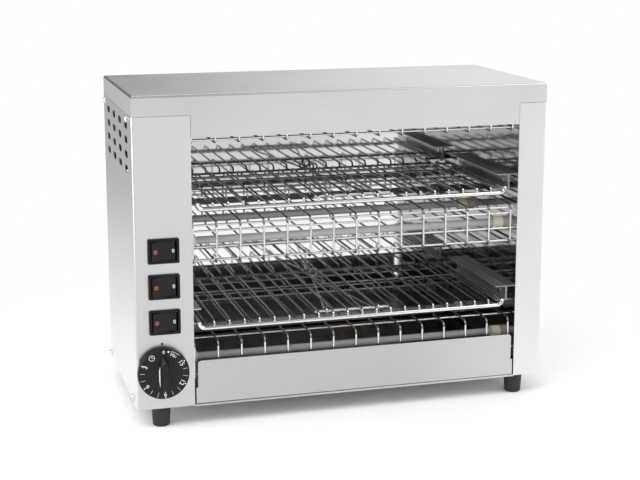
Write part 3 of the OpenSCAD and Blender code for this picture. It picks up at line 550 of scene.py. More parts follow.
@dataclass(frozen=True)
class OvenWire(PlatedWire):
    """Plated wire that stays bright at the open front and has painted shade further in."""

    patch_rough: float = 0.08
    node: str = ""
    # Dark colour of the wires' painted shade.
    painted_shade: Colour = (0.30, 0.295, 0.29)
    reach: Span = (29.0, 36.0)

    def shade(self, sheet: NodeSheet) -> Signal:
        """Returns the wire's shader.

        Args:
            sheet: Sheet of the finish's material.

        Returns:
            The shader.
        """
        patch = self.patch(sheet)
        bright = sheet.blend(self.colour, self.dull, patch)
        y, z = sheet.axes("YZ")
        return sheet.surface({
            # Painted shade: the wire blends to the dark colour away from the open front.
            "Base Color": sheet.blend(bright, self.painted_shade, self.painted_shade_mask(sheet, y, z)),
            "Metallic": 1.0,
            "Roughness": self.roughness + patch * self.patch_rough,
        })

    def painted_shade_mask(self, sheet: NodeSheet, y: Signal, z: Signal) -> Signal:
        """Returns how much painted shade the wire has at a place, from 0 to 1."""
        return sheet.span(y, self.reach, PANEL_Y)


@dataclass(frozen=True)
class RackWire(OvenWire):
    """Wire of a rack: painted shade along its long wires, bright on its front rod and the bar for the pull."""

    wire_d: float = 1.9
    rod_back: float = 15.5

    def painted_shade_mask(self, sheet: NodeSheet, y: Signal, z: Signal) -> Signal:
        """Returns how much painted shade the wire has at a place, from 0 to 1.

        Args:
            sheet: Sheet of the finish's material.
            y: Place from front to back, in metres.
            z: Height in metres.

        Returns:
            From 0 where it is bright to 1 where it has painted shade.
        """
        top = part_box(self.node)[1].z
        # Painted shade on the long wires behind the front rod.
        long_wire = (z > top - self.wire_d * MM) * (y > PANEL_Y + self.rod_back * MM)
        return super().painted_shade_mask(sheet, y, z).most(long_wire)


@dataclass(frozen=True)
class GuardWire(OvenWire):
    """Wire of a guard: painted shade along its level wires and bends, bright on its uprights and cross wires.
    """

    sides: tuple[float, ...] = (1.0,)  # 1 for a level at the top, -1 for one at the bottom
    wire_r: float = 1.1
    bend_r: float = 5.0
    bright_r: float = 3.87
    bright_depth: float = 0.0

    def painted_shade_mask(self, sheet: NodeSheet, y: Signal, z: Signal) -> Signal:
        """Returns how much painted shade the wire has at a place, from 0 to 1.

        Args:
            sheet: Sheet of the finish's material.
            y: Place from front to back, in metres.
            z: Height in metres.

        Returns:
            From 0 where it is bright to 1 where it has painted shade.
        """
        low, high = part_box(self.node)
        inset = (self.wire_r + self.bend_r) * MM
        before = (y - (low.y + inset)).least(0.0)
        painted_shade = []
        for side in self.sides:
            level = high.z - inset if side > 0 else low.z + inset
            over = (side * (z - level)).most(0.0)
            offset = sheet.add("ShaderNodeCombineXYZ", inputs={"Y": before, "Z": over})
            reach = sheet.add("ShaderNodeVectorMath", {"operation": "LENGTH"}, {0: offset}, output="Value")
            # Painted shade on the level wires and bends beyond the bright reach.
            painted_shade.append((reach > self.bright_r * MM) * (over > self.bright_depth * MM))
        return painted_shade[0] if len(painted_shade) == 1 else painted_shade[0].most(painted_shade[1])


@dataclass(frozen=True)
class FrostedQuartz(Finish):
    """Milky quartz of the heating tubes, cloudier in places."""

    colour: Colour
    cloudy: Colour
    roughness: float
    clearness: float
    cloud_waves: Point = (25.0, 200.0, 200.0)
    cloud_detail: float = 3.0
    spread: float = 0.1
    ior: float = 1.46

    def shade(self, sheet: NodeSheet) -> Signal:
        """Returns the quartz's shader.

        Args:
            sheet: Sheet of the finish's material.

        Returns:
            The shader.
        """
        cloud = sheet.noise(self.cloud_waves, self.cloud_detail)
        return sheet.surface({
            "Base Color": sheet.blend(self.colour, self.cloudy, cloud),
            "Roughness": self.roughness + (cloud - 0.5) * self.spread,
            "IOR": self.ior,
            "Transmission Weight": self.clearness,
        })


@dataclass(frozen=True)
class MatteMineral(Finish):
    """Pressed ceramic, rubber or another dull solid with a speckle and a grainy skin."""

    colour: Colour
    speckle: Colour
    roughness: float
    grain: float
    relief: float
    depth: float = 0.1 * MM
    grit_detail: float = 4.0
    grit_rough: float = 0.6
    grit_share: float = 0.7
    speckle_reach: Span = (0.45, 0.7)
    spread: float = 0.12

    def shade(self, sheet: NodeSheet) -> Signal:
        """Returns the dull solid's shader.

        Args:
            sheet: Sheet of the finish's material.

        Returns:
            The shader.
        """
        grit = sheet.noise((self.grain,) * 3, self.grit_detail, self.grit_rough)
        smear = sheet.pattern(Pattern.SMEAR)
        mixed = grit * self.grit_share + smear * (1 - self.grit_share)
        return sheet.surface({
            "Base Color": sheet.blend(self.colour, self.speckle, sheet.step(mixed, *self.speckle_reach)),
            "Roughness": self.roughness + (smear - 0.5) * self.spread,
            "Normal": sheet.bump(grit, self.relief, self.depth),
        })


@dataclass(frozen=True)
class MouldedPlastic(Finish):
    """Moulded plastic with a fine spark-eroded skin that is rubbed smoother in places."""

    colour: Colour
    wear_and_painted_shade: Colour
    roughness: float
    shine: float = 0.5
    skin: float = 4200.0
    skin_detail: float = 2.0
    rub_reach: Span = (0.45, 0.75)
    rub_smooth: float = 0.06
    spread: float = 0.08
    relief: float = 0.06
    depth: float = 0.04 * MM
    ior: float = 1.5

    def shade(self, sheet: NodeSheet) -> Signal:
        """Returns the plastic's shader.

        Args:
            sheet: Sheet of the finish's material.

        Returns:
            The shader.
        """
        skin = sheet.noise((self.skin,) * 3, self.skin_detail)
        rub = sheet.step(sheet.pattern(Pattern.RUB), *self.rub_reach)
        return sheet.surface({
            "Base Color": sheet.blend(self.colour, self.wear_and_painted_shade, rub),
            "Roughness": self.roughness - rub * self.rub_smooth + (skin - 0.5) * self.spread,
            "Normal": sheet.bump(skin, self.relief, self.depth),
            "IOR": self.ior,
            "Specular IOR Level": self.shine,
        })


@dataclass(frozen=True)
class SignalLens(Finish):
    """Clear red-orange lens of an unlit signal lamp, deeper in colour in places."""

    colour: Colour
    deep: Colour
    clear_reach: Span = (0.35, 0.6)
    roughness: float = 0.12
    spread: float = 0.06
    coat: float = 0.6
    coat_roughness: float = 0.04

    def shade(self, sheet: NodeSheet) -> Signal:
        """Returns the lens's shader.

        Args:
            sheet: Sheet of the finish's material.

        Returns:
            The shader.
        """
        facets = sheet.pattern(Pattern.FACETS)
        return sheet.surface({
            "Base Color": sheet.blend(self.deep, self.colour, sheet.step(facets, *self.clear_reach)),
            "Roughness": self.roughness + facets * self.spread,
            "Coat Weight": self.coat,
            "Coat Roughness": self.coat_roughness,
        })


class Finishes:
    """All finishes of the grill, by the piece that they are for."""

    COVER = CoverSteel("satin_steel_cover", (0.765, 0.765, 0.76), 0.34, Grain.ALONG_X)
    COLUMN = ColumnSteel("satin_steel_column", (0.825, 0.825, 0.82), 0.34, Grain.UPRIGHT)
    BACK = SheetSteel("satin_steel_back", (0.66, 0.66, 0.655), 0.38, Grain.ALONG_X)
    TRAY = TraySteel("crumb_tray_steel", (0.535, 0.535, 0.53), (0.30, 0.29, 0.28), (0.16, 0.14, 0.12),
                     0.34, 0.3)
    # The reflector's tint colour also serves as its painted shade.
    MIRROR = RearMirror("polished_reflector", (0.92, 0.92, 0.915), (0.68, 0.675, 0.665), 0.03)
    WALL = PolishedSteel("heat_dulled_wall", (0.42, 0.425, 0.43), (0.37, 0.365, 0.36), 0.05)
    CEILING = PolishedSteel("heat_darkened_ceiling", grey(0.34), (0.28, 0.27, 0.26), 0.12)
    # Near-black colour of the rails: painted shade over their steel.
    RAIL = SheetSteel("rail_steel", (0.055, 0.055, 0.056), 0.22, Grain.ALONG_Y)
    UPPER_RACK = RackWire("upper_rack_wire", grey(0.90), grey(0.76), 0.14, node="upper_rack")
    LOWER_RACK = RackWire("lower_rack_wire", grey(0.90), grey(0.76), 0.14, node="lower_rack",
                          painted_shade=(0.42, 0.415, 0.41))
    UPPER_PULL = OvenWire("upper_pull_wire", grey(0.92), grey(0.78), 0.14, node="upper_rack_pull")
    LOWER_PULL = OvenWire("lower_pull_wire", grey(0.92), grey(0.78), 0.14, node="lower_rack_pull",
                          painted_shade=(0.72, 0.715, 0.71))
    TOP_GUARD = GuardWire("top_guard_wire", grey(0.82), (0.66, 0.66, 0.65), 0.18, node="top_guard",
                          sides=(-1.0,), bright_r=1.5, bright_depth=4.2)
    MIDDLE_GUARD = GuardWire("middle_guard_wire", grey(0.82), (0.66, 0.66, 0.65), 0.18, node="middle_guard",
                             sides=(1.0, -1.0))
    BOTTOM_GUARD = GuardWire("bottom_guard_wire", grey(0.82), (0.66, 0.66, 0.65), 0.18, node="bottom_guard")
    SCREW = PlatedWire("plated_screw", (0.80, 0.80, 0.79), (0.58, 0.58, 0.57), 0.22)
    BRASS = PlatedWire("brass_terminal", (0.72, 0.50, 0.20), (0.52, 0.36, 0.16), 0.3)
    ALLOY = PlatedWire("heating_alloy", (0.36, 0.33, 0.31), (0.22, 0.20, 0.19), 0.42)
    QUARTZ = FrostedQuartz("frosted_quartz", (0.74, 0.745, 0.75), (0.60, 0.605, 0.61), 0.3, 0.3)
    CERAMIC = MatteMineral("pressed_ceramic", (0.93, 0.87, 0.72), (0.80, 0.74, 0.60), 0.5, 900.0, 0.15)
    RUBBER = MatteMineral("foot_rubber", (0.016, 0.016, 0.017), grey(0.03), 0.62, 1500.0, 0.12)
    SLEEVE = MatteMineral("lead_sleeve", (0.62, 0.60, 0.54), (0.50, 0.48, 0.42), 0.75, 2000.0, 0.2)
    BEZEL = MouldedPlastic("switch_bezel_plastic", grey(0.005), grey(0.008), 0.42, 0.28)
    ROCKER = MouldedPlastic("rocker_plastic", grey(0.006), grey(0.010), 0.34, 0.3)
    KNOB = MouldedPlastic("knob_plastic", grey(0.006), grey(0.010), 0.38, 0.3)
    GLAND = MouldedPlastic("gland_plastic", (0.05, 0.05, 0.052), (0.07, 0.07, 0.072), 0.5)
    CLOCKWORK = MouldedPlastic("timer_plastic", (0.16, 0.16, 0.165), grey(0.2), 0.5)
    BLOCK = MouldedPlastic("terminal_plastic", (0.74, 0.70, 0.60), (0.66, 0.62, 0.52), 0.48)
    # White print, also used for the painted highlight on the knob's grip.
    PRINT = MouldedPlastic("white_print_and_painted_highlight", (0.92, 0.92, 0.91), (0.84, 0.84, 0.83), 0.5)
    INDEX = MouldedPlastic("black_print", grey(0.008), grey(0.014), 0.5)
    LENS = SignalLens("signal_lens", (0.26, 0.055, 0.018), (0.13, 0.022, 0.008))


def dress(finish: Finish, *nodes: str) -> None:
    """Gives CAD nodes a finish.

    Args:
        finish: The finish.
        nodes: Names of the nodes.
    """
    for name in nodes:
        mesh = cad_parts[name].data
        mesh.materials.clear()
        mesh.materials.append(finish.material())
        LOG.info("dressed %s in %s", name, finish.name)


def full_turn(steps: int) -> list[float]:
    """Returns equal steps round a circle, in radians."""
    return [2 * math.pi * i / steps for i in range(steps)]


class Clay:
    """A mesh in the making, in the row frame."""

    def __init__(self) -> None:
        """Starts with nothing."""
        self.bm = bmesh.new()

    def rings(self, rings: Sequence[Sequence[Vector]], caps: bool = True) -> None:
        """Joins closed rings of points by a skin.

        Args:
            rings: Rings with equal numbers of points.
            caps: Whether the first and last ring are filled.
        """
        made = [[self.bm.verts.new(p) for p in ring] for ring in rings]
        count = len(made[0])
        for a, b in zip(made, made[1:]):
            for i in range(count):
                j = (i + 1) % count
                self.bm.faces.new((a[i], a[j], b[j], b[i]))
        if caps:
            self.bm.faces.new(tuple(reversed(made[0])))
            self.bm.faces.new(made[-1])

    def lathe(self, profile: Sequence[Span], turn: Matrix, steps: int = 48) -> None:
        """Turns a profile about an axis.

        Args:
            profile: Points as radius and height in millimetres, from axis to axis.
            turn: Matrix from the profile's frame, with its axis along Z, to the row frame.
            steps: Number of points round.
        """
        rows: list[list[bmesh.types.BMVert]] = []
        for radius, height in ((r * MM, h * MM) for r, h in profile):
            if radius < ON_AXIS:
                points = [Vector((0, 0, height))]
            else:
                points = [Vector((radius * math.cos(a), radius * math.sin(a), height))
                          for a in full_turn(steps)]
            rows.append([self.bm.verts.new(turn @ point) for point in points])
        for low, high in zip(rows, rows[1:]):
            for i in range(steps):
                j = (i + 1) % steps
                corners = (low[i % len(low)], low[j % len(low)], high[j % len(high)], high[i % len(high)])
                self.bm.faces.new(tuple(dict.fromkeys(corners)))

    def plate(self, outline: Sequence[Vector], rise: Vector) -> None:
        """Makes a flat plate from an outline.

        Args:
            outline: Points round the plate.
            rise: From the plate's underside to its face.
        """
        self.rings([outline, [p + rise for p in outline]])

    def washer(self, outer: Sequence[Vector], inner: Sequence[Vector], rise: Vector) -> None:
        """Makes a flat plate with a hole.

        Args:
            outer: Points round the plate.
            inner: As many points round the hole.
            rise: From the plate's underside to its face.
        """
        loop = [list(outer), [p + rise for p in outer], [p + rise for p in inner], list(inner), list(outer)]
        self.rings(loop, caps=False)
        bmesh.ops.remove_doubles(self.bm, verts=self.bm.verts, dist=TOUCHING)

    def words(self, text: str, height: float, turn: Matrix, thickness: float) -> None:
        """Adds raised characters.

        Args:
            text: The characters.
            height: Their nominal height in metres.
            turn: Matrix from the text's frame, reading along X, to the row frame.
            thickness: Thickness of the print in metres.
        """
        curve = bpy.data.curves.new("print", "FONT")
        curve.body = text
        curve.size = height
        curve.align_x = "CENTER"
        curve.align_y = "CENTER"
        curve.extrude = thickness / 2
        curve.resolution_u = 6
        holder = bpy.data.objects.new("print", curve)
        bpy.context.scene.collection.objects.link(holder)
        mesh = bpy.data.meshes.new_from_object(holder.evaluated_get(bpy.context.evaluated_depsgraph_get()))
        mesh.transform(turn)
        self.bm.from_mesh(mesh)
        bpy.data.objects.remove(holder)
        bpy.data.meshes.remove(mesh)
        bpy.data.curves.remove(curve)

    def piece(self, name: str, finish: Finish, body: Body, sharp: float = 35.0) -> bpy.types.Object:
        """Ends the mesh as a piece that rides on a body.

        Args:
            name: Name of the piece.
            finish: Its finish.
            body: The body that it moves with.
            sharp: Angle in degrees over which an edge stays sharp.

        Returns:
            The piece.
        """
        bmesh.ops.recalc_face_normals(self.bm, faces=self.bm.faces)
        mesh = bpy.data.meshes.new(name)
        self.bm.to_mesh(mesh)
        self.bm.free()
        mesh.materials.append(finish.material())
        mesh.shade_smooth()
        mesh.set_sharp_from_angle(angle=math.radians(sharp))
        made = bpy.data.objects.new(name, mesh)
        bpy.context.scene.collection.objects.link(made)
        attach(made, body.value)
        LOG.info("made %s with %d faces on %s", name, len(mesh.polygons), body.value)
        return made


def upright(place: Vector, up: Vector, out: Vector) -> Matrix:
    """Returns a frame at a place, whose Y points up and whose Z points out."""
    return Matrix.Translation(place) @ Matrix((up.cross(out), up, out)).transposed().to_4x4()


def facing_front(x: float, y: float, z: float, angle: float = 0.0) -> Matrix:
    """Returns a frame on the panel that faces the front.

    Args:
        x: Casing millimetres right of the centre.
        y: Casing millimetres behind the panel's face.
        z: Casing millimetres above the underside.
        angle: Clockwise turn in degrees, seen from the front.

    Returns:
        Matrix whose X reads to the right, whose Y points up and whose Z comes out of the panel.
    """
    a = math.radians(angle)
    return upright(spot(x, y, z), Vector((math.sin(a), 0.0, math.cos(a))), FRONT)


def ellipse(middle: Vector, across: Vector, up: Vector, steps: int = 28) -> list[Vector]:
    """Returns points round an ellipse.

    Args:
        middle: Its middle.
        across: Its first half axis.
        up: Its second half axis.
        steps: Number of points.

    Returns:
        The points.
    """
    return [middle + across * math.cos(a) + up * math.sin(a) for a in full_turn(steps)]


def oval(middle: Vector, across: float, tall: float, steps: int = 28) -> list[Vector]:
    """Returns points round an upright ellipse that faces the front, by its half axes in millimetres."""
    return ellipse(middle, RIGHT * across * MM, UP * tall * MM, steps)


@dataclass
class Cabinet:
    """Folded sheets, base, feet and fasteners."""

    cover: str = "top_cover"
    columns: tuple[str, ...] = ("left_casing", "right_casing")
    rear: tuple[str, ...] = ("back_panel", "base_plate")
    fasteners: tuple[str, ...] = ("side_screws", "back_screws", "foot_screws", "foot_nuts")
    feet: str = "feet"

    def build(self) -> None:
        """Dresses the cabinet."""
        dress(Finishes.COVER, self.cover)
        dress(Finishes.COLUMN, *self.columns)
        dress(Finishes.BACK, *self.rear)
        dress(Finishes.SCREW, *self.fasteners)
        dress(Finishes.RUBBER, self.feet)


@dataclass
class ToastingSpace:
    """Polished walls, rails, racks, guards and the crumb tray."""

    walls: tuple[str, ...] = ("left_inner_wall", "right_inner_wall")
    rails: tuple[str, ...] = ("upper_left_rail", "upper_right_rail", "lower_left_rail", "lower_right_rail")
    wires: tuple[OvenWire, ...] = (Finishes.UPPER_PULL, Finishes.LOWER_PULL, Finishes.UPPER_RACK,
                                   Finishes.LOWER_RACK, Finishes.TOP_GUARD,
                                   Finishes.MIDDLE_GUARD, Finishes.BOTTOM_GUARD)

    def build(self) -> None:
        """Dresses the toasting space."""
        dress(Finishes.MIRROR, "rear_reflector")
        dress(Finishes.CEILING, "ceiling_reflector")
        dress(Finishes.WALL, *self.walls)
        dress(Finishes.RAIL, *self.rails)
        dress(Finishes.SCREW, "rail_rivets")
        for finish in self.wires:
            dress(finish, finish.node)
        dress(Finishes.TRAY, "crumb_tray")


@dataclass
class Heaters:
    """Quartz tubes with wound coils, ceramic ends and terminals."""

    tubes: tuple[str, ...] = ("top_front_tube", "top_back_tube", "middle_front_tube", "middle_back_tube",
                              "bottom_front_tube", "bottom_back_tube")
    coil_r: float = 2.15 * MM
    wire_r: float = 0.32 * MM
    pitch: float = 2.0 * MM
    end_room: float = 7.0 * MM
    steps: int = 10
    sides: int = 5
    aside: Point = (1.0, 0.3, 0.2)  # a direction that no length of the coil follows

    def build(self) -> None:
        """Dresses the heaters and winds their coils."""
        dress(Finishes.QUARTZ, *self.tubes)
        dress(Finishes.CERAMIC, "left_ceramics", "right_ceramics")
        dress(Finishes.BRASS, "tube_terminals")
        dress(Finishes.SLEEVE, "heater_leads")
        dress(Finishes.ALLOY, "heater_cores")
        clay = Clay()
        for tube in self.tubes:
            self.wind(clay, *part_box(tube))
        coils = clay.piece("heating_coils", Finishes.ALLOY, Body.OVEN)
        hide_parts("heater_cores")

    def wind(self, clay: Clay, low: Vector, high: Vector) -> None:
        """Winds one coil inside a tube, with a straight tail on the axis at each end.

        Args:
            clay: The mesh that takes the coil.
            low: Lowest corner of the tube.
            high: Highest corner of the tube.
        """
        middle = (low + high) / 2
        start, end = low.x + self.end_room, high.x - self.end_room
        turns = round((end - start) / self.pitch)
        path = [Vector((x, middle.y, middle.z)) for x in (low.x, start - self.coil_r)]
        for i in range(turns * self.steps + 1):
            a = 2 * math.pi * i / self.steps
            path.append(Vector((start + (end - start) * i / (turns * self.steps),
                                middle.y + self.coil_r * math.cos(a), middle.z + self.coil_r * math.sin(a))))
        path += [Vector((x, middle.y, middle.z)) for x in (end + self.coil_r, high.x)]
        rings = []
        for before, here, after in zip([path[0], *path], path, [*path[1:], path[-1]]):
            along = (after - before).normalized()
            side = along.cross(Vector(self.aside)).normalized()
            rings.append(ellipse(here, side * self.wire_r, along.cross(side) * self.wire_r, self.sides))
        clay.rings(rings)


@dataclass
class RockerSwitch:
    """Rocker switch with a signal lens on its wide face and a printed 0 on its narrow one."""

    row: str
    body: Body
    tilt: float = 7.0
    pivot_y: float = 0.5
    valley: Span = (7.3, -1.2)
    narrow_end: Span = (11.1, -3.0)
    mark_x: float = 9.4
    mark_half: Span = (1.2, 1.9)
    mark_line: float = 0.55
    print_t: float = 0.08
    lens_turn: float = 13.015
    lens_profile: tuple[Span, ...] = (
        (0.0, -1.4), (2.45, -1.4), (2.45, 1.0), (2.3, 1.4), (1.9, 1.75), (1.2, 2.0), (0.6, 2.1), (0.0, 2.12))

    def build(self) -> None:
        """Dresses the switch and makes its lens and mark."""
        dress(Finishes.BEZEL, f"{self.row}_switch_housing")
        dress(Finishes.ROCKER, f"{self.row}_rocker")
        dress(Finishes.LENS, f"{self.row}_lamp")
        self.lens()
        self.mark()

    def lens(self) -> None:
        """Makes the domed lens in the place of the plain one."""
        low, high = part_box(f"{self.row}_lamp")
        a = math.radians(self.lens_turn)
        out = Vector((math.sin(a), -math.cos(a), 0.0))
        clay = Clay()
        clay.lathe(self.lens_profile, upright((low + high) / 2, UP, out), steps=24)
        made = clay.piece(f"{self.row}_lens", Finishes.LENS, self.body, sharp=50.0)
        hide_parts(f"{self.row}_lamp")

    def on_rocker(self, x: float, y: float, z: float) -> Vector:
        """Returns a point of the tilted rocker.

        Args:
            x: Millimetres right of the untilted rocker's middle.
            y: Millimetres behind the panel.
            z: Millimetres above the rocker's middle.

        Returns:
            The point in the row frame.
        """
        low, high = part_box(f"{self.row}_switch_housing")
        a = math.radians(self.tilt)
        dy = y - self.pivot_y
        return Vector(((low.x + high.x) / 2 + (x * math.cos(a) - dy * math.sin(a)) * MM,
                       PANEL_Y + (self.pivot_y + x * math.sin(a) + dy * math.cos(a)) * MM,
                       (low.z + high.z) / 2 + z * MM))

    def mark(self) -> None:
        """Prints the 0 on the narrow face."""
        (x0, y0), (x1, y1) = self.valley, self.narrow_end
        slope = (y1 - y0) / (x1 - x0)
        middle = self.on_rocker(self.mark_x, y0 + slope * (self.mark_x - x0), 0.0)
        along = (self.on_rocker(x1, y1, 0.0) - self.on_rocker(x0, y0, 0.0)).normalized()
        out = UP.cross(along)
        out = -out if out.y > 0 else out
        across, tall = self.mark_half
        clay = Clay()
        clay.washer(
            ellipse(middle, along * across * MM, UP * tall * MM),
            ellipse(middle, along * (across - self.mark_line) * MM, UP * (tall - self.mark_line) * MM),
            out * self.print_t * MM)
        clay.piece(f"{self.row}_off_mark", Finishes.PRINT, self.body)


@dataclass
class TimerDial:
    """Fifteen-minute timer: clockwork, knob with a pointed grip, print and a painted highlight on the knob, and
    index on the panel.
    """

    x: float = -194.0
    z: float = 38.5
    face: float = 8.2
    print_t: float = 0.1
    number_r: float = 20.6
    number_h: float = 6.5
    dot_r: float = 24.3
    dot_half: float = 0.7
    start_dot: Point = (12.0, 23.6, 0.95)
    tick_r: Span = (19.6, 24.4)
    tick_w: float = 0.27
    numbers: tuple[tuple[str, float], ...] = (
        ("15", 59.0), ("12", 118.0), ("9", 177.0), ("6", 236.0), ("3", 295.0))
    words: tuple[tuple[str, float, float, float], ...] = (("0", 0.0, 22.9, 4.6), ("Min", 27.5, 21.2, 4.6))
    ticks: tuple[float, ...] = (78.7, 98.3, 137.7, 157.3, 196.7, 216.3, 255.7, 275.3)
    arc_r: Span = (24.25, 24.6)
    arc_span: Span = (17.0, 41.0)
    arc_steps: int = 12
    clock_at: Span = (325.8, 21.4)
    clock_r: float = 3.0
    clock_line: float = 0.45
    hands: tuple[tuple[float, float, float, float], ...] = ((-0.2, -0.2, 0.2, 1.9), (0.2, -0.2, 1.6, 0.2))
    disc: tuple[Span, ...] = (
        (0.0, 5.2), (11.0, 5.2), (11.0, 1.2), (25.6, 1.2), (26.1, 1.5), (26.25, 2.0), (26.25, 6.7), (26.1, 7.4),
        (25.75, 7.9), (25.4, 8.12), (25.0, 8.2), (0.0, 8.2))
    grip: tuple[tuple[float, ...], ...] = (
        (5.4, 17.4, 12.6, 20.4, 7.6), (5.0, 16.9, 12.2, 19.8, 8.5), (4.4, 16.2, 11.4, 18.2, 10.6),
        (3.7, 15.4, 9.4, 13.8, 16.2), (3.4, 15.1, 8.8, 12.8, 16.9), (2.7, 14.4, 8.0, 11.8, 17.2))
    tail_steps: int = 12
    cheek: Span = (0.55, 0.6)
    point: float = 0.14
    # Place of the painted highlight: a white strip on the grip's left flank.
    line: tuple[Span, ...] = ((-4.97, 0.4), (-4.31, 3.2))
    highlight_z: Span = (-12.3, 9.3)
    index_z: float = 67.9
    index_half: Span = (1.0, 1.5)

    def build(self) -> None:
        """Dresses the timer and makes its knob, print and index."""
        dress(Finishes.CLOCKWORK, "timer_body")
        dress(Finishes.SCREW, "timer_nut", "timer_shaft")
        dress(Finishes.KNOB, "timer_knob")
        self.knob()
        self.dial_print_and_painted_highlight()
        self.index()

    def grip_outline(self, half: float, tail: float, shoulder: float, tip: float, out: float) -> list[Vector]:
        """Returns the grip's outline at one height over the panel.

        Args:
            half: Half its width.
            tail: Reach of its round end below the axis.
            shoulder: Reach of its sides above the axis.
            tip: Reach of its tip above the axis.
            out: Height over the panel.

        Returns:
            Points in the row frame.
        """
        turn = facing_front(self.x, 0.0, self.z)
        arc = [(half * math.cos(a), half - tail + half * math.sin(a))
               for a in (math.pi + math.pi * i / self.tail_steps for i in range(self.tail_steps + 1))]
        cheek, fullness = self.cheek
        side = [(half, shoulder), (cheek * half, (shoulder + tip) / 2 + fullness), (self.point * half, tip)]
        flat = [*arc, *side, *((-u, v) for u, v in reversed(side))]
        return [turn @ (Vector((u, v, out)) * MM) for u, v in flat]

    def knob(self) -> None:
        """Makes the knob: a turned disc and a grip with sloping sides."""
        clay = Clay()
        clay.lathe(self.disc, facing_front(self.x, 0.0, self.z), steps=72)
        clay.rings([self.grip_outline(*ring) for ring in self.grip])
        made = clay.piece("dial_knob", Finishes.KNOB, Body.TIMER_DIAL, sharp=40.0)
        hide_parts("timer_knob")

    def on_dial(self, angle: float, reach: float) -> Vector:
        """Returns a point of the dial's face.

        Args:
            angle: Clockwise from the top, in degrees.
            reach: Millimetres from the axis.

        Returns:
            The point in the row frame.
        """
        a = math.radians(angle)
        return spot(self.x + reach * math.sin(a), -self.face, self.z + reach * math.cos(a))

    def dot(self, angle: float, reach: float, half: float) -> list[Vector]:
        """Returns the outline of a dot of the dial, by its place and half its width in millimetres."""
        return oval(self.on_dial(angle, reach), half, half, steps=16)

    def painted_grip_highlight(self, clay: Clay) -> None:
        """Adds a white strip on the grip's left flank as a painted highlight.

        Args:
            clay: The mesh that takes it.
        """
        (foot_x, foot), (edge_x, edge) = self.line
        low, high = self.highlight_z
        middle, half = (low + high) / 2, (high - low) / 2
        rise = Vector((foot - edge, foot_x - edge_x, 0.0)).normalized() * self.print_t * MM
        corners = ((foot_x, foot, -0.5), (edge_x, edge, -1.0), (edge_x, edge, 1.0), (foot_x, foot, 0.5))
        z = self.z + middle
        clay.plate([spot(self.x + x, -self.face - out, z + end * half) for x, out, end in corners], rise)

    def dial_print_and_painted_highlight(self) -> None:
        """Prints the numbers, dots, ticks, the unit with its arc and a clock face, and adds the painted
        highlight on the grip.
        """
        clay = Clay()
        rise = FRONT * self.print_t * MM
        for text, angle in self.numbers:
            self.word(clay, text, angle, self.number_r, self.number_h)
            clay.plate(self.dot(angle, self.dot_r, self.dot_half), rise)
        for word in self.words:
            self.word(clay, *word)
        clay.plate(self.dot(*self.start_dot), rise)
        for angle in self.ticks:
            a = math.radians(angle)
            side = Vector((math.cos(a), 0.0, -math.sin(a))) * self.tick_w / 2 * MM
            near, far = (self.on_dial(angle, r) for r in self.tick_r)
            clay.plate([near - side, near + side, far + side, far - side], rise)
        self.arc(clay, rise)
        self.painted_grip_highlight(clay)
        middle, rim = self.on_dial(*self.clock_at), self.clock_r - self.clock_line
        clay.washer(oval(middle, self.clock_r, self.clock_r), oval(middle, rim, rim), rise)
        for left, low, far, high in self.hands:
            corners = ((left, low), (far, low), (far, high), (left, high))
            clay.plate([middle + (RIGHT * u + UP * v) * MM for u, v in corners], rise)
        clay.piece("dial_print_and_painted_highlight", Finishes.PRINT, Body.TIMER_DIAL)

    def word(self, clay: Clay, text: str, angle: float, reach: float, height: float) -> None:
        """Prints characters on the dial with their tops towards the rim.

        Args:
            clay: The mesh that takes them.
            text: The characters.
            angle: Clockwise from the top, in degrees.
            reach: Millimetres from the axis.
            height: Nominal height in millimetres.
        """
        a = math.radians(angle)
        turn = facing_front(self.x + reach * math.sin(a), -self.face - self.print_t / 2,
                            self.z + reach * math.cos(a), angle)
        clay.words(text, height * MM, turn, self.print_t * MM)

    def arc(self, clay: Clay, rise: Vector) -> None:
        """Prints a thin arc near the dial's rim.

        Args:
            clay: The mesh that takes it.
            rise: From the dial's face to the print's face.
        """
        first, last = self.arc_span
        angles = [first + (last - first) * i / self.arc_steps for i in range(self.arc_steps + 1)]
        near, far = self.arc_r
        outline = [self.on_dial(a, far) for a in angles] + [self.on_dial(a, near) for a in reversed(angles)]
        clay.plate(outline, rise)

    def index(self) -> None:
        """Prints the index on the panel."""
        clay = Clay()
        outline = oval(spot(self.x, 0.0, self.index_z), *self.index_half, steps=24)
        clay.plate(outline, FRONT * self.print_t * MM)
        clay.piece("panel_index", Finishes.INDEX, Body.OVEN)


@dataclass
class Wiring:
    """Terminal block, loom and cable gland."""

    def build(self) -> None:
        """Dresses the wiring."""
        dress(Finishes.BLOCK, "terminal_block")
        dress(Finishes.GLAND, "wiring_loom", "cable_gland")


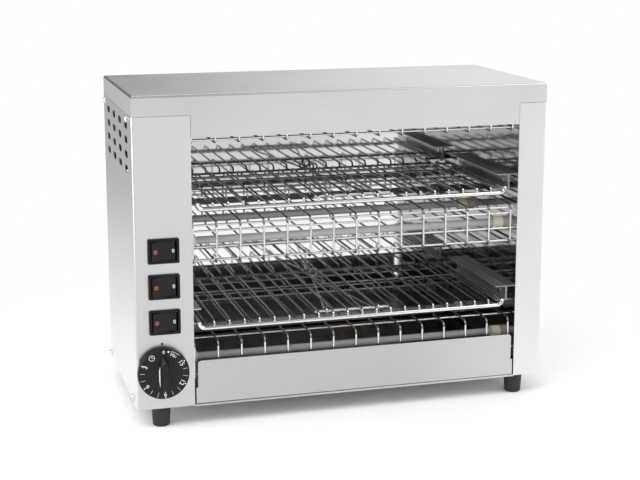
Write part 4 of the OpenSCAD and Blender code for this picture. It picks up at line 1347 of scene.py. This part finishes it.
@dataclass
class Studio:
    """Camera, pale floor and soft light."""

    place: Point = (-0.4178, -1.4525, 0.5069)
    aim: Point = (0.0, 0.0, 0.15)
    yaw: float = 16.018
    pitch: float = 10.757
    lens: float = 79.33
    shift: float = -0.08
    sensor: float = 36.0
    paint: Colour = (0.97, 0.97, 0.97)
    paint_roughness: float = 0.9
    floor_r: float = 30.0
    shadow_reach: Span = (0.26, 0.55)
    rear_reach: Span = (0.25, 1.5)
    rear_level: float = 0.6
    sky: float = 0.8
    dark_level: float = 0.12
    left_dim: float = 0.93
    left_sky: Span = (-0.38, 0.05)
    left_rise: Span = (0.25, 0.6)
    rear_dim: float = 0.37
    rear_sky: Span = (0.4, 0.7)
    rear_side: Span = (0.0, 0.5)
    front_sky: Span = (-0.2, 0.3)
    front_rise: Span = (0.0, 0.2)
    right_sky: Span = (0.05, 0.5)
    front_reach: Span = (1.0, 2.0)
    front_side: Span = (0.45, 1.0)
    front_dim: float = 0.40
    lamps: tuple[tuple[str, Point, Span, float], ...] = (
        ("key_lamp", (-1.2, -1.2, 2.2), (1.6, 1.6), 22.0),
        ("fill_lamp", (1.6, -0.9, 1.8), (1.6, 1.6), 14.0),
        ("side_lamp", (-1.0, -0.1, 0.45), (0.5, 0.8), 4.0))

    def camera(self) -> None:
        """Makes the camera."""
        data = bpy.data.cameras.new("camera")
        data.sensor_width = self.sensor
        data.lens = self.lens
        data.shift_y = self.shift
        made = bpy.data.objects.new("camera", data)
        made.location = self.place
        made.rotation_euler = (math.radians(90.0 - self.pitch), 0.0, math.radians(-self.yaw))
        bpy.context.scene.collection.objects.link(made)
        bpy.context.scene.camera = made

    def seen(self, sheet: NodeSheet) -> Signal:
        """Returns 1 for rays of the camera and for those that metal and glass send on."""
        ray = self.ray(sheet, "Is Camera Ray").most(self.ray(sheet, "Is Glossy Ray"))
        return ray.most(self.ray(sheet, "Is Transmission Ray"))

    def ray(self, sheet: NodeSheet, kind: str) -> Signal:
        """Returns 1 for one kind of ray."""
        return sheet.add("ShaderNodeLightPath", output=kind)

    def floor(self) -> None:
        """Makes the floor, which keeps the grill's shadow and turns to plain white further out."""
        mesh = bpy.data.meshes.new("floor")
        r = self.floor_r
        mesh.from_pydata([(-r, -r, 0), (r, -r, 0), (r, r, 0), (-r, r, 0)], [], [(0, 1, 2, 3)])
        made = bpy.data.objects.new("floor", mesh)
        bpy.context.scene.collection.objects.link(made)
        material = bpy.data.materials.new("pale_floor")
        material.use_nodes = True
        sheet = NodeSheet(material.node_tree)
        place = sheet.add("ShaderNodeNewGeometry", output="Position")
        distance = sheet.add("ShaderNodeVectorMath", {"operation": "LENGTH"}, {0: place}, output="Value")
        far = sheet.step(distance, *self.shadow_reach)
        paint = sheet.surface({
            "Base Color": rgba(self.paint), "Roughness": self.paint_roughness, "Specular IOR Level": 0.0})
        white, grey = (sheet.add("ShaderNodeEmission", inputs={"Color": WHITE, "Strength": level})
                       for level in (1.0, self.rear_level))
        x, y = (sheet.axis(place, name) for name in "XY")
        front = sheet.step(-1.0 * y, *self.front_reach) * (1 - sheet.step(x, *self.front_side))
        dim = (sheet.step(y, *self.rear_reach) + front * self.front_dim) * self.ray(sheet, "Is Glossy Ray")
        plain = sheet.add("ShaderNodeMixShader", inputs={0: far * self.seen(sheet), 1: paint, 2: white})
        sheet.finish(sheet.add("ShaderNodeMixShader", inputs={0: dim, 1: plain, 2: grey}))
        mesh.materials.append(material)

    def world(self) -> None:
        """Makes the soft light from all sides and the white surroundings."""
        world = bpy.data.worlds.new("studio")
        bpy.context.scene.world = world
        world.use_nodes = True
        sheet = NodeSheet(world.node_tree)
        light, white, dark = (
            sheet.add("ShaderNodeBackground", inputs={"Color": WHITE, "Strength": level})
            for level in (self.sky, 1.0, self.dark_level))
        way = sheet.add("ShaderNodeTexCoord", output="Generated")
        x, y, z = (sheet.axis(way, name) for name in "XYZ")
        front = sheet.step(-1.0 * y, *self.front_sky) * sheet.step(z, *self.front_rise)
        front = front * (1 - sheet.step(x, *self.right_sky))
        rear = sheet.step(y, *self.rear_sky) * (1 - sheet.step(x, *self.rear_side))
        left = (1 - front) * sheet.step(-1.0 * x, *self.left_sky) * (1 - sheet.step(z, *self.left_rise))
        dim = front + left * self.left_dim + rear * self.rear_dim
        room = sheet.add("ShaderNodeMixShader", inputs={
            0: dim * self.ray(sheet, "Is Glossy Ray"), 1: white, 2: dark})
        shader = sheet.add("ShaderNodeMixShader", inputs={0: self.seen(sheet), 1: light, 2: room})
        sheet.finish(shader, "ShaderNodeOutputWorld")

    def lamp(self, name: str, place: Point, size: Span, power: float) -> None:
        """Makes a soft lamp that points at the grill.

        Args:
            name: Name of the lamp.
            place: Where it hangs, in metres.
            size: Width and height of its face in metres.
            power: Power in watts.
        """
        data = bpy.data.lights.new(name, "AREA")
        data.shape = "RECTANGLE"
        data.size, data.size_y = size
        data.energy = power
        made = bpy.data.objects.new(name, data)
        made.location = place
        made.rotation_euler = (Vector(self.aim) - Vector(place)).to_track_quat("-Z", "Y").to_euler()
        made.visible_camera = False
        bpy.context.scene.collection.objects.link(made)

    def build(self) -> None:
        """Makes the studio."""
        bpy.context.scene.view_settings.view_transform = "Standard"
        self.camera()
        self.floor()
        self.world()
        for lamp in self.lamps:
            self.lamp(*lamp)


def main() -> None:
    """Builds the studio and dresses the grill, one sub-assembly after another."""
    logging.basicConfig(level=logging.INFO, format="%(name)s: %(message)s")
    builders: list[Callable[[], None]] = [
        Studio().build,
        Cabinet().build,
        ToastingSpace().build,
        Heaters().build,
        RockerSwitch("top", Body.TOP_SWITCH).build,
        RockerSwitch("middle", Body.MIDDLE_SWITCH).build,
        RockerSwitch("low", Body.LOW_SWITCH).build,
        TimerDial().build,
        Wiring().build,
    ]
    for build in builders:
        build()


if __name__ == "__main__":
    main()
